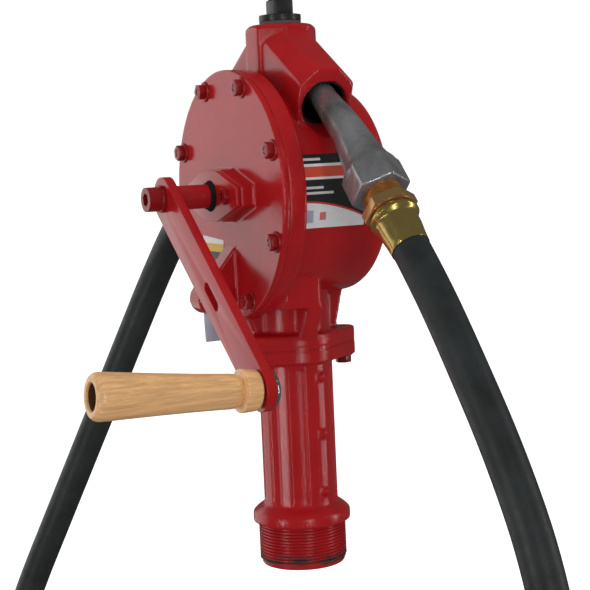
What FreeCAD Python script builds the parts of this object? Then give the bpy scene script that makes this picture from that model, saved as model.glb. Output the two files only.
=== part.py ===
import FreeCAD, Part
import math
import os
import Sketcher
from FreeCAD import Placement, Rotation, Vector

# Rotary hand transfer pump: a vane pump on a bung adapter, with a crank, a hanging
# hose and a spout that is parked in the holster arm of the pump housing.
# Millimetres, +Z up along the column, -Y towards the cover and the crank, +X towards
# the holster. The origin is the centre of the seat under the collar, where the bung
# thread starts.

SIZES = [
    ("thread_radius", 30.15, "bung thread, 2 inch pipe thread, outside radius"),
    ("thread_length", 29.7, "length of the bung thread below the seat"),
    ("thread_chamfer", 1.6, "chamfer at the lower end of the bung thread"),
    ("suction_radius", 16.2, "tapped hole for the suction pipe, wall radius"),
    ("suction_length", 21.7, "length of the tapped hole"),
    ("column_bore_radius", 17.5, "bore of the column"),
    ("column_radius", 24.4, "outside radius of the column"),
    ("collar_radius", 33.66, "outside radius of the collar"),
    ("collar_height", 7.0, "height of the straight side of the collar"),
    ("collar_dome_radius", 27.0, "radius where the dome of the collar ends"),
    ("collar_dome_height", 14.0, "height where the dome of the collar ends"),
    ("collar_foot_height", 18.0, "height where the foot of the column ends"),
    ("adapter_height", 120.5, "height of the top face of the adapter flange"),
    ("adapter_flange_thickness", 9.0, "thickness of the adapter flange"),
    ("housing_flange_thickness", 10.0, "thickness of the housing flange"),
    ("inlet_gasket_thickness", 1.0, "thickness of the inlet gasket"),
    ("oval_radius", 30.0, "round middle of the oval flanges"),
    ("oval_lug_radius", 8.5, "round ends of the oval flanges"),
    ("oval_bolt_offset", 38.0, "distance of each flange bolt from the column axis"),
    ("rib_proud", 1.5, "height of the witness rib on the column"),
    ("rib_width", 7.5, "width of the witness rib"),
    ("rib_azimuth", 13.5, "angle of the witness rib about the column, from +X"),
    ("rib_dot_radius", 1.6, "radius of the three dots on the rib"),
    ("seat_radius", 21.0, "outside radius of the check valve seat"),
    ("seat_thickness", 4.0, "thickness of the check valve seat"),
    ("seat_port_radius", 13.0, "port of the check valve seat"),
    ("seat_guide_radius", 3.05, "guide hole of the check valve seat"),
    ("poppet_radius", 15.5, "radius of the check valve disc"),
    ("poppet_thickness", 2.4, "thickness of the check valve disc"),
    ("poppet_stem_radius", 3.0, "radius of the check valve stem"),
    ("poppet_stem_length", 11.0, "length of the check valve stem below the disc"),
    ("strainer_thickness", 1.0, "thickness of the strainer disc"),
    ("strainer_drop", 16.0, "distance of the strainer below the seat's top"),
    ("neck_bore_radius", 18.5, "bore of the housing neck"),
    ("shaft_height", 227.0, "height of the shaft axis above the seat"),
    ("cover_radius", 82.5, "radius of the cover and of the housing rim"),
    ("cover_front", 45.0, "distance of the cover's front face in front of the column axis"),
    ("cover_thickness", 4.0, "thickness of the cover"),
    ("cover_gasket_thickness", 0.6, "thickness of the cover gasket"),
    ("cover_gasket_bore", 65.0, "inside radius of the cover gasket"),
    ("rim_back", 27.8, "distance of the rim's back face in front of the column axis"),
    ("cover_bolt_circle", 75.3, "radius of the cover bolts' circle"),
    ("cover_bolt_count", 8.0, "number of cover bolts"),
    ("cover_bolt_radius", 3.0, "shank radius of a cover bolt"),
    ("cover_bolt_length", 14.0, "shank length of a cover bolt"),
    ("cover_bolt_washer_radius", 6.9, "radius of a cover bolt's washer flange"),
    ("cover_bolt_washer_thickness", 1.3, "thickness of a cover bolt's washer flange"),
    ("cover_bolt_hex_radius", 5.6, "corner radius of a cover bolt's head"),
    ("cover_bolt_hex_height", 4.4, "height of a cover bolt's head over its flange"),
    ("bolt_clearance", 0.3, "radial clearance of a bolt in a plain hole"),
    ("tap_clearance", 0.05, "radial gap of a screw in its tapped hole"),
    ("drum_radius", 70.0, "outside radius of the drum behind the rim"),
    ("drum_back", 42.0, "distance of the drum's back behind the column axis"),
    ("drum_round", 8.0, "rounding of the drum's back edge"),
    ("chamber_radius", 57.0, "radius of the pumping chamber"),
    ("chamber_offset", 5.0, "offset of the chamber's centre from the shaft, towards +X"),
    ("chamber_back", 26.0, "distance of the chamber's back wall behind the column axis"),
    ("neck_block_half_width", 43.0, "half width of the block between neck and drum"),
    ("neck_block_depth", 30.0, "depth of that block in front of the column axis"),
    ("neck_block_bottom", 151.0, "height of the underside of that block"),
    ("neck_block_height", 29.0, "height of that block"),
    ("web_thickness", 10.0, "thickness of the two webs on the neck"),
    ("boss_apothem", 22.3, "half the width across flats of the eight-sided top boss"),
    ("boss_bottom", 284.0, "height where the top boss starts inside the drum"),
    ("boss_top", 339.0, "height of the top of the boss"),
    ("boss_round", 2.0, "bevel of the boss's top edge"),
    ("passage_radius", 11.0, "outlet passage from the chamber up to the boss"),
    ("plug_thread_radius", 13.0, "radius of the filler plug's thread"),
    ("plug_thread_length", 17.0, "length of the filler plug's thread"),
    ("plug_gasket_thickness", 2.0, "thickness of the ring under the plug"),
    ("plug_gasket_radius", 13.4, "radius of the ring under the plug"),
    ("plug_flange_radius", 14.1, "radius of the plug's flange"),
    ("plug_flange_thickness", 4.5, "thickness of the plug's flange"),
    ("plug_head_width", 14.0, "width of the plug's square head"),
    ("plug_head_height", 12.0, "height of the plug's square head"),
    ("arm_slope", 32.0, "slope of the two side arms below level"),
    ("arm_reach", 58.0, "distance of an arm's mouth from the column axis"),
    ("arm_mouth_height", 282.2, "height of the centre of an arm's mouth"),
    ("arm_face_slope", 20.0, "slope of an arm's end face"),
    ("arm_half_width", 19.6, "half width of an arm"),
    ("arm_crown", 24.5, "height of an arm's top flat over its bore axis"),
    ("arm_crown_half_width", 8.2, "half width of an arm's top flat"),
    ("arm_shoulder", 14.5, "height of an arm's shoulders over its bore axis"),
    ("arm_sole", 18.0, "depth of an arm's underside below its bore axis"),
    ("arm_sole_half_width", 9.5, "half width of an arm's underside"),
    ("arm_flank", 8.0, "depth where an arm's flanks start to close in"),
    ("arm_root", 60.0, "length of an arm from its mouth back into the boss"),
    ("holster_radius", 15.8, "bore of the holster"),
    ("holster_depth", 40.0, "depth of the holster"),
    ("outlet_radius", 13.0, "tapped outlet, wall radius"),
    ("outlet_depth", 22.0, "depth of the tapped outlet"),
    ("gland_half_width", 39.7, "half width of the gland plate"),
    ("gland_end_half_height", 5.5, "half height of the gland plate's ends"),
    ("gland_half_height", 15.5, "half height of the gland plate's middle"),
    ("gland_crown_half_width", 10.0, "half width of the gland plate's top and bottom flats"),
    ("gland_thickness", 3.3, "thickness of the gland plate"),
    ("gland_boss_height", 9.7, "height of the boss under the gland plate"),
    ("gland_boss_margin", 1.8, "how far the boss stands out round the gland plate"),
    ("gland_screw_offset", 25.0, "distance of each gland screw from the shaft"),
    ("gland_screw_radius", 2.5, "shank radius of a gland screw"),
    ("gland_screw_length", 11.0, "shank length of a gland screw"),
    ("gland_screw_head_radius", 4.9, "head radius of a gland screw"),
    ("gland_screw_head_height", 3.0, "head height of a gland screw"),
    ("packing_radius", 12.0, "outside radius of the shaft packing"),
    ("packing_depth", 4.7, "depth of the packing box below the top of the gland boss"),
    ("packing_lip_radius", 9.6, "radius of the packing's lip in the gland plate"),
    ("packing_lip_proud", 0.5, "how far the lip stands out of the gland plate"),
    ("front_bushing_radius", 11.0, "outside radius of the front bushing"),
    ("rear_bushing_radius", 10.5, "outside radius of the rear bushing"),
    ("rear_bushing_length", 10.0, "length of the rear bushing"),
    ("running_clearance", 0.04, "radial clearance of the shaft in its bushings"),
    ("lug_half_width", 8.2, "half width of the lock lug on the cover"),
    ("lug_reach", 28.5, "how far the lock lug stands out of the cover"),
    ("lug_apex_height", 193.0, "height where the lug's back leaves the cover"),
    ("lug_bottom_height", 149.0, "height of the underside of the lug"),
    ("tab_thickness", 2.4, "thickness of the plated tab in the lug"),
    ("tab_drop", 19.0, "how far the tab hangs below the lug"),
    ("rotor_radius", 51.4, "radius of the rotor"),
    ("rotor_end_gap", 0.2, "gap at each face of the rotor"),
    ("vane_thickness", 4.0, "thickness of a vane"),
    ("vane_clearance", 0.06, "gap on each side of a vane in its slot"),
    ("vane_height", 13.0, "radial height of a vane"),
    ("vane_tip_gap", 0.15, "gap between the vane's tip and the near side of the chamber"),
    ("vane_slot_bottom", 34.0, "radius of the bottom of a vane slot"),
    ("leaf_thickness", 0.6, "thickness of the leaf spring under a vane"),
    ("leaf_rise", 3.2, "height of the bow of a leaf spring"),
    ("leaf_half_length", 28.0, "half length of a leaf spring"),
    ("shaft_radius", 8.0, "radius of the rotor shaft"),
    ("shaft_back", 35.0, "end of the shaft behind the column axis"),
    ("tenon_half_width", 6.4, "half the width across the flats of the shaft's tenon"),
    ("key_width", 5.0, "width and height of the rotor key"),
    ("key_length", 24.0, "length of the rotor key"),
    ("crank_front", 92.5, "distance of the crank's front face in front of the column axis"),
    ("crank_thickness", 6.25, "thickness of the crank arm"),
    ("crank_length", 171.3, "centre distance of the crank arm"),
    ("crank_hub_radius", 14.06, "end radius of the crank arm at the shaft"),
    ("crank_tip_radius", 13.04, "end radius of the crank arm at the grip"),
    ("crank_slot_start", 81.0, "centre of the slot's near end from the shaft"),
    ("crank_slot_end", 104.0, "centre of the slot's far end from the shaft"),
    ("crank_slot_half_width", 3.4, "half width of the slot"),
    ("crank_droop", 39.8, "angle of the crank below level at rest"),
    ("crank_screw_radius", 4.9, "shank radius of the crank screw"),
    ("crank_screw_length", 22.0, "shank length of the crank screw"),
    ("crank_screw_head_radius", 8.0, "head radius of the crank screw"),
    ("crank_screw_head_height", 9.0, "head height of the crank screw"),
    ("crank_screw_socket", 4.6, "corner radius of the crank screw's socket"),
    ("crank_screw_socket_depth", 5.0, "depth of the crank screw's socket"),
    ("lock_washer_radius", 9.0, "outside radius of the split washer"),
    ("lock_washer_thickness", 2.5, "thickness of the split washer"),
    ("lock_washer_gap", 1.4, "gap of the split washer"),
    ("spacer_radius", 8.8, "outside radius of the spacer ring behind the crank"),
    ("spacer_thickness", 3.0, "thickness of the spacer ring"),
    ("grip_lean", 4.5, "lean of the grip, outer end up, from the shaft's direction"),
    ("grip_start", 1.5, "gap between the crank arm and the grip"),
    ("grip_length", 101.6, "length of the grip"),
    ("grip_end_radius", 13.9, "largest radius of the grip near its outer end"),
    ("grip_neck_radius", 10.3, "radius of the grip's neck"),
    ("grip_bead_radius", 13.0, "radius of the grip's bead"),
    ("grip_foot_radius", 11.6, "radius of the grip's inner end"),
    ("grip_pin_radius", 4.0, "radius of the pin that the grip turns on"),
    ("grip_pin_clearance", 0.05, "radial clearance of the grip on its pin"),
    ("grip_recess_radius", 8.0, "radius of the recess in the grip's outer end"),
    ("grip_recess_depth", 32.0, "depth of that recess"),
    ("grip_head_radius", 6.8, "radius of the pin's head in the recess"),
    ("grip_head_height", 3.0, "height of the pin's head"),
    ("grip_nut_radius", 11.0, "radius of the pivot's nut behind the arm"),
    ("grip_nut_height", 3.6, "height of the pivot's nut"),
    ("nipple_thread_radius", 12.95, "radius of a nipple's thread"),
    ("nipple_thread_length", 15.0, "length of a nipple's thread inside its socket"),
    ("nipple_stand_off", 6.0, "plain thread seen between the spout's socket and the hexagon"),
    ("outlet_stand_off", 18.0, "plain thread between the outlet arm and the hexagon"),
    ("nipple_hex_radius", 17.5, "corner radius of a nipple's hexagon"),
    ("nipple_hex_length", 9.0, "length of a nipple's hexagon"),
    ("nipple_neck_radius", 11.6, "radius of the neck behind the hexagon"),
    ("nipple_neck_length", 3.0, "length of that neck"),
    ("nipple_tail_radius", 9.4, "radius of the tail inside the ferrule"),
    ("nipple_bore_radius", 7.0, "bore of a nipple"),
    ("ferrule_length", 26.0, "length of a ferrule"),
    ("ferrule_rim_radius", 15.85, "radius of a ferrule's rim"),
    ("ferrule_rim_length", 2.6, "length of a ferrule's rim"),
    ("ferrule_waist_radius", 13.35, "radius of a ferrule behind its rim"),
    ("ferrule_end_radius", 12.2, "radius of a ferrule at the hose"),
    ("hose_radius", 11.75, "outside radius of the hose"),
    ("hose_outlet_lead", 44.0, "straight start of the hose at the outlet"),
    ("hose_spout_lead", 30.0, "straight end of the hose at the spout"),
    ("spout_pipe_slope", 36.5, "slope of the spout's pipe below level"),
    ("spout_pipe_length", 69.0, "length of the spout's pipe from its tip to the bend"),
    ("spout_tip_radius", 8.2, "outside radius of the spout at its tip"),
    ("spout_root_radius", 9.8, "outside radius of the spout's pipe at the bend"),
    ("spout_bore_radius", 6.4, "bore of the spout"),
    ("spout_body_slope", 45.7, "slope of the spout's body below level"),
    ("spout_body_length", 32.8, "length of the spout's round body"),
    ("spout_body_start_radius", 10.9, "radius of the spout's body at the bend"),
    ("spout_body_end_radius", 15.4, "radius of the spout's body at the socket"),
    ("spout_socket_radius", 19.8, "corner radius of the spout's six-sided socket"),
    ("spout_socket_length", 20.0, "length of the spout's socket"),
    ("spout_hose_x", 156.5, "where the hose starts at the spout, +X"),
    ("spout_hose_height", 194.6, "where the hose starts at the spout, height"),
    ("side_label_low", 22.0, "lower edge of the drum's label, below the shaft's height"),
    ("side_label_high", 25.0, "upper edge of the drum's label, above the shaft's height"),
    ("side_label_front", 27.0, "front edge of the drum's label, in front of the column axis"),
    ("side_label_back", 20.0, "back edge of the drum's label, behind the column axis"),
    ("label_thickness", 0.3, "thickness of a label"),
    ("cover_label_width", 33.0, "width of the cover's label"),
    ("cover_label_height", 17.0, "height of the cover's label"),
    ("cover_label_x", -27.0, "middle of the cover's label, +X"),
    ("cover_label_drop", 38.0, "middle of the cover's label below the shaft"),
    ("cover_label_tilt", 4.0, "tilt of the cover's label"),
]

# Route of the hose from the outlet ferrule to the spout ferrule: a point for each bend.
# The two points at each end lie on the axes of the ferrules.
ROUTE = [
    (-188.0, -1.5, 199.5), (-221.3, -10.8, 156.5),
    (-305.0, -118.6, -130.6), (-328.0, -148.0, -245.0), (-335.0, -166.0, -345.0),
    (-325.0, -178.0, -440.0), (-292.0, -184.0, -525.0), (-235.0, -184.0, -600.0),
    (-155.0, -178.0, -644.0), (-60.0, -166.0, -662.0), (45.0, -148.0, -654.0),
    (140.0, -126.0, -618.0), (215.0, -102.0, -565.0), (268.0, -78.0, -485.0),
    (302.0, -56.0, -395.0), (321.0, -37.0, -300.0), (327.0, -22.0, -205.0),
    (320.0, -11.0, -115.0), (303.0, -4.0, -40.0), (279.5, 0.0, 28.0),
    (247.0, 0.0, 84.5), (205.0, 0.0, 139.5),
]


class Size:
    """A number and the sheet expression that gives it."""

    def __init__(self, value, text):
        self.value = float(value)
        self.text = text

    def __add__(self, other):
        other = size(other)
        return Size(self.value + other.value, "(%s + %s)" % (self.text, other.text))

    def __sub__(self, other):
        other = size(other)
        return Size(self.value - other.value, "(%s - %s)" % (self.text, other.text))

    def __mul__(self, other):
        other = size(other)
        return Size(self.value * other.value, "(%s * %s)" % (self.text, other.text))

    def __truediv__(self, other):
        other = size(other)
        return Size(self.value / other.value, "(%s / %s)" % (self.text, other.text))

    def __radd__(self, other):
        return size(other) + self

    def __rsub__(self, other):
        return size(other) - self

    def __rmul__(self, other):
        return size(other) * self

    def __neg__(self):
        return Size(-self.value, "(0 - %s)" % self.text)


def size(value):
    """Anything as a Size; a plain number stays a constant."""
    if isinstance(value, Size):
        return value
    return Size(value, repr(float(value)))


def sine(angle):
    return Size(math.sin(math.radians(angle.value)), "sin(%s)" % angle.text)


def cosine(angle):
    return Size(math.cos(math.radians(angle.value)), "cos(%s)" % angle.text)


def root(value):
    return Size(math.sqrt(value.value), "sqrt(%s)" % value.text)


def larger(first, second):
    first, second = size(first), size(second)
    return Size(max(first.value, second.value), "max(%s; %s)" % (first.text, second.text))


def smaller(first, second):
    first, second = size(first), size(second)
    return Size(min(first.value, second.value), "min(%s; %s)" % (first.text, second.text))


doc = FreeCAD.newDocument("rotary_hand_pump")
sheet = doc.addObject("Spreadsheet::Sheet", "Sizes")
D = {}
for row, (alias, number, words) in enumerate(SIZES, start=1):
    sheet.set("A%d" % row, alias)
    sheet.set("B%d" % row, str(number))
    sheet.set("C%d" % row, words)
    sheet.setAlias("B%d" % row, alias)
doc.recompute()
for alias, number, words in SIZES:
    D[alias] = Size(float(getattr(sheet, alias)), "Sizes.%s" % alias)

PIECES = []  # (node name, object) for every sub-part


def keep(name, obj):
    """Name a finished sub-part and put it on the list."""
    obj.Label = name
    PIECES.append((name, obj))
    return obj


def bind(obj, prop, value):
    """Set a property from a size and bind it to the sheet."""
    value = size(value)
    if "." not in prop:
        number = value.value
        setattr(obj, prop, int(round(number)) if prop == "Occurrences" else number)
    if "Sizes." in value.text:
        obj.setExpression(prop, value.text)


def frame_to(z_dir, x_dir):
    """Rotation that takes +Z to z_dir and +X near x_dir."""
    z_dir = Vector(*z_dir)
    x_dir = Vector(*x_dir)
    return Rotation(x_dir, z_dir.cross(x_dir), z_dir, "ZXY")


UPRIGHT = Rotation()
TO_BACK = Rotation(Vector(1, 0, 0), -90)    # local +Z to +Y
TO_FRONT = Rotation(Vector(1, 0, 0), 90)    # local +Z to -Y, local +Y to +Z
TO_RIGHT = Rotation(Vector(0, 1, 0), 90)    # local +Z to +X
TO_LEFT = Rotation(Vector(0, 1, 0), -90)    # local +Z to -X


def put(obj, pos=(0, 0, 0), turn=UPRIGHT):
    """Place an object and bind each coordinate that comes from the sheet."""
    pos = [size(p) for p in pos]
    obj.Placement = Placement(Vector(*[p.value for p in pos]), turn)
    for axis, p in zip("xyz", pos):
        if "Sizes." in p.text:
            obj.setExpression("Placement.Base.%s" % axis, p.text)
    return obj


def cyl(name, radius, height, pos=(0, 0, 0), turn=UPRIGHT):
    obj = doc.addObject("Part::Cylinder", name)
    bind(obj, "Radius", radius)
    bind(obj, "Height", height)
    return put(obj, pos, turn)


def cone(name, start, end, height, pos=(0, 0, 0), turn=UPRIGHT):
    obj = doc.addObject("Part::Cone", name)
    bind(obj, "Radius1", start)
    bind(obj, "Radius2", end)
    bind(obj, "Height", height)
    return put(obj, pos, turn)


def box(name, length, width, height, pos=(0, 0, 0), turn=UPRIGHT):
    obj = doc.addObject("Part::Box", name)
    bind(obj, "Length", length)
    bind(obj, "Width", width)
    bind(obj, "Height", height)
    return put(obj, pos, turn)


def prism(name, sides, corner, height, pos=(0, 0, 0), turn=UPRIGHT):
    obj = doc.addObject("Part::Prism", name)
    obj.Polygon = sides
    bind(obj, "Circumradius", corner)
    bind(obj, "Height", height)
    return put(obj, pos, turn)


def fuse(name, *parts):
    obj = doc.addObject("Part::MultiFuse", name)
    obj.Shapes = list(parts)
    obj.Refine = True
    return obj


def cut(name, base, *tools):
    obj = doc.addObject("Part::Cut", name)
    obj.Base = base
    obj.Tool = tools[0] if len(tools) == 1 else fuse(name + "_tools", *tools)
    obj.Refine = True
    return obj


def corners(sketch, points):
    """A closed straight-sided outline; each corner is dimensioned from the origin."""
    points = [(size(x), size(y)) for x, y in points]
    count = len(points)
    first = sketch.GeometryCount
    for i, (x, y) in enumerate(points):
        nx, ny = points[(i + 1) % count]
        sketch.addGeometry(Part.LineSegment(Vector(x.value, y.value, 0),
                                            Vector(nx.value, ny.value, 0)), False)
    for i in range(count):
        sketch.addConstraint(Sketcher.Constraint("Coincident", first + i, 2,
                                                 first + (i + 1) % count, 1))
    for i, (x, y) in enumerate(points):
        for kind, value, letter in (("DistanceX", x, "x"), ("DistanceY", y, "y")):
            index = sketch.addConstraint(
                Sketcher.Constraint(kind, -1, 1, first + i, 1, value.value))
            label = "corner%d%s" % (first + i, letter)
            sketch.renameConstraint(index, label)
            if "Sizes." in value.text:
                sketch.setExpression("Constraints.%s" % label, value.text)


def ring(sketch, radius, x=0, y=0):
    """A circle, dimensioned from the origin."""
    radius, x, y = size(radius), size(x), size(y)
    index = sketch.addGeometry(Part.Circle(Vector(x.value, y.value, 0), Vector(0, 0, 1),
                                           radius.value), False)
    for kind, value, args in (("Radius", radius, (index,)),
                              ("DistanceX", x, (-1, 1, index, 3)),
                              ("DistanceY", y, (-1, 1, index, 3))):
        made = sketch.addConstraint(Sketcher.Constraint(kind, *args, value.value))
        label = "ring%d%s" % (index, kind[-1])
        sketch.renameConstraint(made, label)
        if "Sizes." in value.text:
            sketch.setExpression("Constraints.%s" % label, value.text)


def extrude(name, points, height, pos=(0, 0, 0), turn=UPRIGHT):
    """A straight-sided sketch extruded along its own normal."""
    sketch = doc.addObject("Sketcher::SketchObject", name + "_outline")
    corners(sketch, points)
    obj = doc.addObject("Part::Extrusion", name)
    obj.Base = sketch
    obj.DirMode = "Custom"
    obj.Dir = Vector(0, 0, 1)
    obj.Solid = True
    bind(obj, "LengthFwd", height)
    return put(obj, pos, turn)


def new_body(name):
    return doc.addObject("PartDesign::Body", name)


def plane(body, role):
    for feature in body.Origin.OriginFeatures:
        if feature.Role == role:
            return feature
    raise RuntimeError(role)


def sketch_in(body, name, role="XY_Plane"):
    obj = body.newObject("Sketcher::SketchObject", name)
    obj.AttachmentSupport = [(plane(body, role), "")]
    obj.MapMode = "FlatFace"
    return obj


def turned(name, profile):
    """A body turned about its own Z from (radius, height) corners."""
    body = new_body(name + "_body")
    sketch = sketch_in(body, name + "_profile", "XZ_Plane")
    corners(sketch, profile)
    obj = body.newObject("PartDesign::Revolution", name + "_turn")
    obj.Profile = sketch
    obj.ReferenceAxis = (sketch, ["V_Axis"])
    obj.Angle = 360.0
    body.Tip = obj
    return body


def pad(body, name, height, points=None, circle=None):
    """Material added upward from the body's base plane."""
    sketch = sketch_in(body, name + "_outline")
    if points:
        corners(sketch, points)
    if circle:
        ring(sketch, *circle)
    obj = body.newObject("PartDesign::Pad", name)
    obj.Profile = sketch
    bind(obj, "Length", height)
    body.Tip = obj
    return obj


def pocket(body, name, depth, points=None, circles=()):
    """Material taken out upward from the body's base plane."""
    sketch = sketch_in(body, name + "_outline")
    if points:
        corners(sketch, points)
    for circle in circles:
        ring(sketch, *circle)
    obj = body.newObject("PartDesign::Pocket", name)
    obj.Profile = sketch
    obj.Reversed = True
    bind(obj, "Length", depth)
    body.Tip = obj
    return obj


def around(body, name, feature, count):
    """Repeat a feature round the body's own Z."""
    obj = body.newObject("PartDesign::PolarPattern", name)
    obj.Originals = [feature]
    obj.Axis = (feature.Profile[0], ["N_Axis"])
    obj.Angle = 360.0
    bind(obj, "Occurrences", count)
    body.Tip = obj
    return obj


def tangent_hull(big, small, offset):
    """Corners of the straight-sided part between two circles a distance apart along X."""
    slope = (big - small) / offset
    rise = root(1 - slope * slope)
    return [(big * slope, big * rise), (offset + small * slope, small * rise),
            (offset + small * slope, -(small * rise)), (big * slope, -(big * rise))]


# Shared places ---------------------------------------------------------------------------
d = D
shaft_z = d["shaft_height"]
cover_inner = d["cover_front"] - d["cover_thickness"]           # distances in front of Y = 0
housing_front = cover_inner - d["cover_gasket_thickness"]
gland_seat = d["cover_front"] + d["gland_boss_height"]
gland_front = gland_seat + d["gland_thickness"]
crank_back = d["crank_front"] - d["crank_thickness"]
packing_back = gland_seat - d["packing_depth"]
gasket_top = d["adapter_height"] + d["inlet_gasket_thickness"]
neck_bottom = gasket_top + d["housing_flange_thickness"]
arm_dir = (math.cos(math.radians(d["arm_slope"].value)), 0,
           -math.sin(math.radians(d["arm_slope"].value)))
face_dir = (math.cos(math.radians(d["arm_face_slope"].value)), 0,
            -math.sin(math.radians(d["arm_face_slope"].value)))
body_dir = (math.cos(math.radians(d["spout_body_slope"].value)), 0,
            -math.sin(math.radians(d["spout_body_slope"].value)))
arm_cos, arm_sin = cosine(d["arm_slope"]), sine(d["arm_slope"])


def mirrored(direction):
    return (-direction[0], direction[1], direction[2])


def oval(name, thickness, height):
    """Oval flange outline with a bolt lug on each side, front and back."""
    hull = tangent_hull(d["oval_radius"], d["oval_lug_radius"], d["oval_bolt_offset"])
    points = [(y, x) for x, y in hull] + [(y, -x) for x, y in reversed(hull)]
    return fuse(name,
                cyl(name + "_middle", d["oval_radius"], thickness, (0, 0, height)),
                cyl(name + "_front", d["oval_lug_radius"], thickness,
                    (0, -d["oval_bolt_offset"], height)),
                cyl(name + "_back", d["oval_lug_radius"], thickness,
                    (0, d["oval_bolt_offset"], height)),
                extrude(name + "_sides", points, thickness, (0, 0, height)))


def flange_holes(name, radius, length, height):
    return [cyl(name + "_hole_front", radius, length, (0, -d["oval_bolt_offset"], height)),
            cyl(name + "_hole_back", radius, length, (0, d["oval_bolt_offset"], height))]


# Bung adapter and inlet ------------------------------------------------------------------
def make_bung_adapter():
    foot = d["suction_length"] - d["thread_length"]
    flange_under = d["adapter_height"] - d["adapter_flange_thickness"]
    body = turned("adapter_column", [
        (d["suction_radius"], -d["thread_length"]),
        (d["thread_radius"] - d["thread_chamfer"], -d["thread_length"]),
        (d["thread_radius"], d["thread_chamfer"] - d["thread_length"]),
        (d["thread_radius"], 0),
        (d["collar_radius"] - 0.8, 0),
        (d["collar_radius"], 0.8),
        (d["collar_radius"], d["collar_height"]),
        (d["collar_radius"] - (d["collar_radius"] - d["collar_dome_radius"]) * 0.15,
         d["collar_height"] + (d["collar_dome_height"] - d["collar_height"]) * 0.45),
        (d["collar_radius"] - (d["collar_radius"] - d["collar_dome_radius"]) * 0.5,
         d["collar_height"] + (d["collar_dome_height"] - d["collar_height"]) * 0.8),
        (d["collar_dome_radius"], d["collar_dome_height"]),
        (d["column_radius"] + (d["collar_dome_radius"] - d["column_radius"]) * 0.3,
         d["collar_dome_height"] + (d["collar_foot_height"] - d["collar_dome_height"]) * 0.4),
        (d["column_radius"], d["collar_foot_height"]),
        (d["column_radius"], d["adapter_height"] - 1),
        (d["column_bore_radius"], d["adapter_height"] - 1),
        (d["column_bore_radius"], foot + 1.5),
        (d["suction_radius"], foot),
    ])
    flange = oval("adapter_oval", d["adapter_flange_thickness"], flange_under)
    azimuth = Rotation(Vector(0, 0, 1), d["rib_azimuth"].value)
    rib_top = flange_under - d["collar_foot_height"] + 1
    rib_local = box("adapter_rib", d["rib_proud"] + 4, d["rib_width"], rib_top,
                    (d["column_radius"] - 4, d["rib_width"] * -0.5,
                     d["collar_foot_height"] - 1))
    dots = []
    for share, word in ((0.03, "low"), (0.45, "middle"), (0.87, "high")):
        dot = doc.addObject("Part::Sphere", "adapter_dot_" + word)
        bind(dot, "Radius", d["rib_dot_radius"])
        put(dot, (d["column_radius"] + d["rib_proud"], 0,
                  d["collar_foot_height"] + rib_top * share + d["rib_dot_radius"]))
        dots.append(dot)
    rib = fuse("adapter_rib_and_dots", rib_local, *dots)
    rib.Placement = Placement(Vector(0, 0, 0), azimuth)
    bore = cyl("adapter_bore", d["column_bore_radius"], d["adapter_flange_thickness"] + 4,
               (0, 0, flange_under - 2))
    seat = cyl("adapter_seat", d["seat_radius"], d["seat_thickness"] + 1,
               (0, 0, d["adapter_height"] - d["seat_thickness"]))
    holes = flange_holes("adapter", d["cover_bolt_radius"] + d["bolt_clearance"],
                         d["adapter_flange_thickness"] + 2, flange_under - 1)
    return keep("bung_adapter", cut("adapter_casting",
                                    fuse("adapter_blank", body, flange, rib),
                                    bore, seat, *holes))


def make_inlet_valve():
    top = d["adapter_height"]
    bottom = top - d["seat_thickness"]
    ringed = turned("seat_ring", [
        (d["seat_port_radius"], 0), (d["seat_radius"], 0),
        (d["seat_radius"], d["seat_thickness"]), (d["seat_port_radius"], d["seat_thickness"])])
    arms = [box("seat_spider_%s" % word, d["seat_port_radius"] * 2 + 2, 3.0,
                d["seat_thickness"] - 1.2,
                (-d["seat_port_radius"] - 1, -1.5, 0))
            for word in ("long",)]
    arms.append(box("seat_spider_cross", 3.0, d["seat_port_radius"] * 2 + 2,
                    d["seat_thickness"] - 1.2,
                    (-1.5, -d["seat_port_radius"] - 1, 0)))
    hub = cyl("seat_hub", d["seat_guide_radius"] + 2, d["seat_thickness"] - 1.2)
    guide = cyl("seat_guide", d["seat_guide_radius"], d["seat_thickness"] + 2, (0, 0, -1))
    seat = cut("seat_made", fuse("seat_blank", ringed, hub, *arms), guide)
    put(seat, (0, 0, bottom))
    keep("valve_seat", seat)

    lift = turned("poppet", [
        (0, -d["poppet_stem_length"]), (d["poppet_stem_radius"], -d["poppet_stem_length"]),
        (d["poppet_stem_radius"], 0), (d["poppet_radius"], 0),
        (d["poppet_radius"], d["poppet_thickness"] * 0.7),
        (d["poppet_radius"] - 1.2, d["poppet_thickness"]), (0, d["poppet_thickness"])])
    put(lift, (0, 0, top + 0.1))
    keep("check_valve_poppet", lift)

    body = new_body("strainer_body")
    pad(body, "strainer_disc", d["strainer_thickness"],
        circle=(d["column_bore_radius"],))
    for word, count, radius in (("inner", 6, 6.0), ("outer", 12, 12.0)):
        hole = pocket(body, "strainer_%s_hole" % word, d["strainer_thickness"] + 1,
                      circles=[(1.6, radius, 0)])
        around(body, "strainer_%s_ring" % word, hole, count)
    put(body, (0, 0, top - d["strainer_drop"]))
    keep("inlet_strainer", body)

    gasket = cut("inlet_gasket_made",
                 oval("gasket_oval", d["inlet_gasket_thickness"], top),
                 cyl("gasket_bore", d["neck_bore_radius"] + 1, d["inlet_gasket_thickness"] + 2,
                     (0, 0, top - 1)),
                 *flange_holes("gasket", d["cover_bolt_radius"] + d["bolt_clearance"],
                               d["inlet_gasket_thickness"] + 2, top - 1))
    keep("inlet_gasket", gasket)


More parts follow.
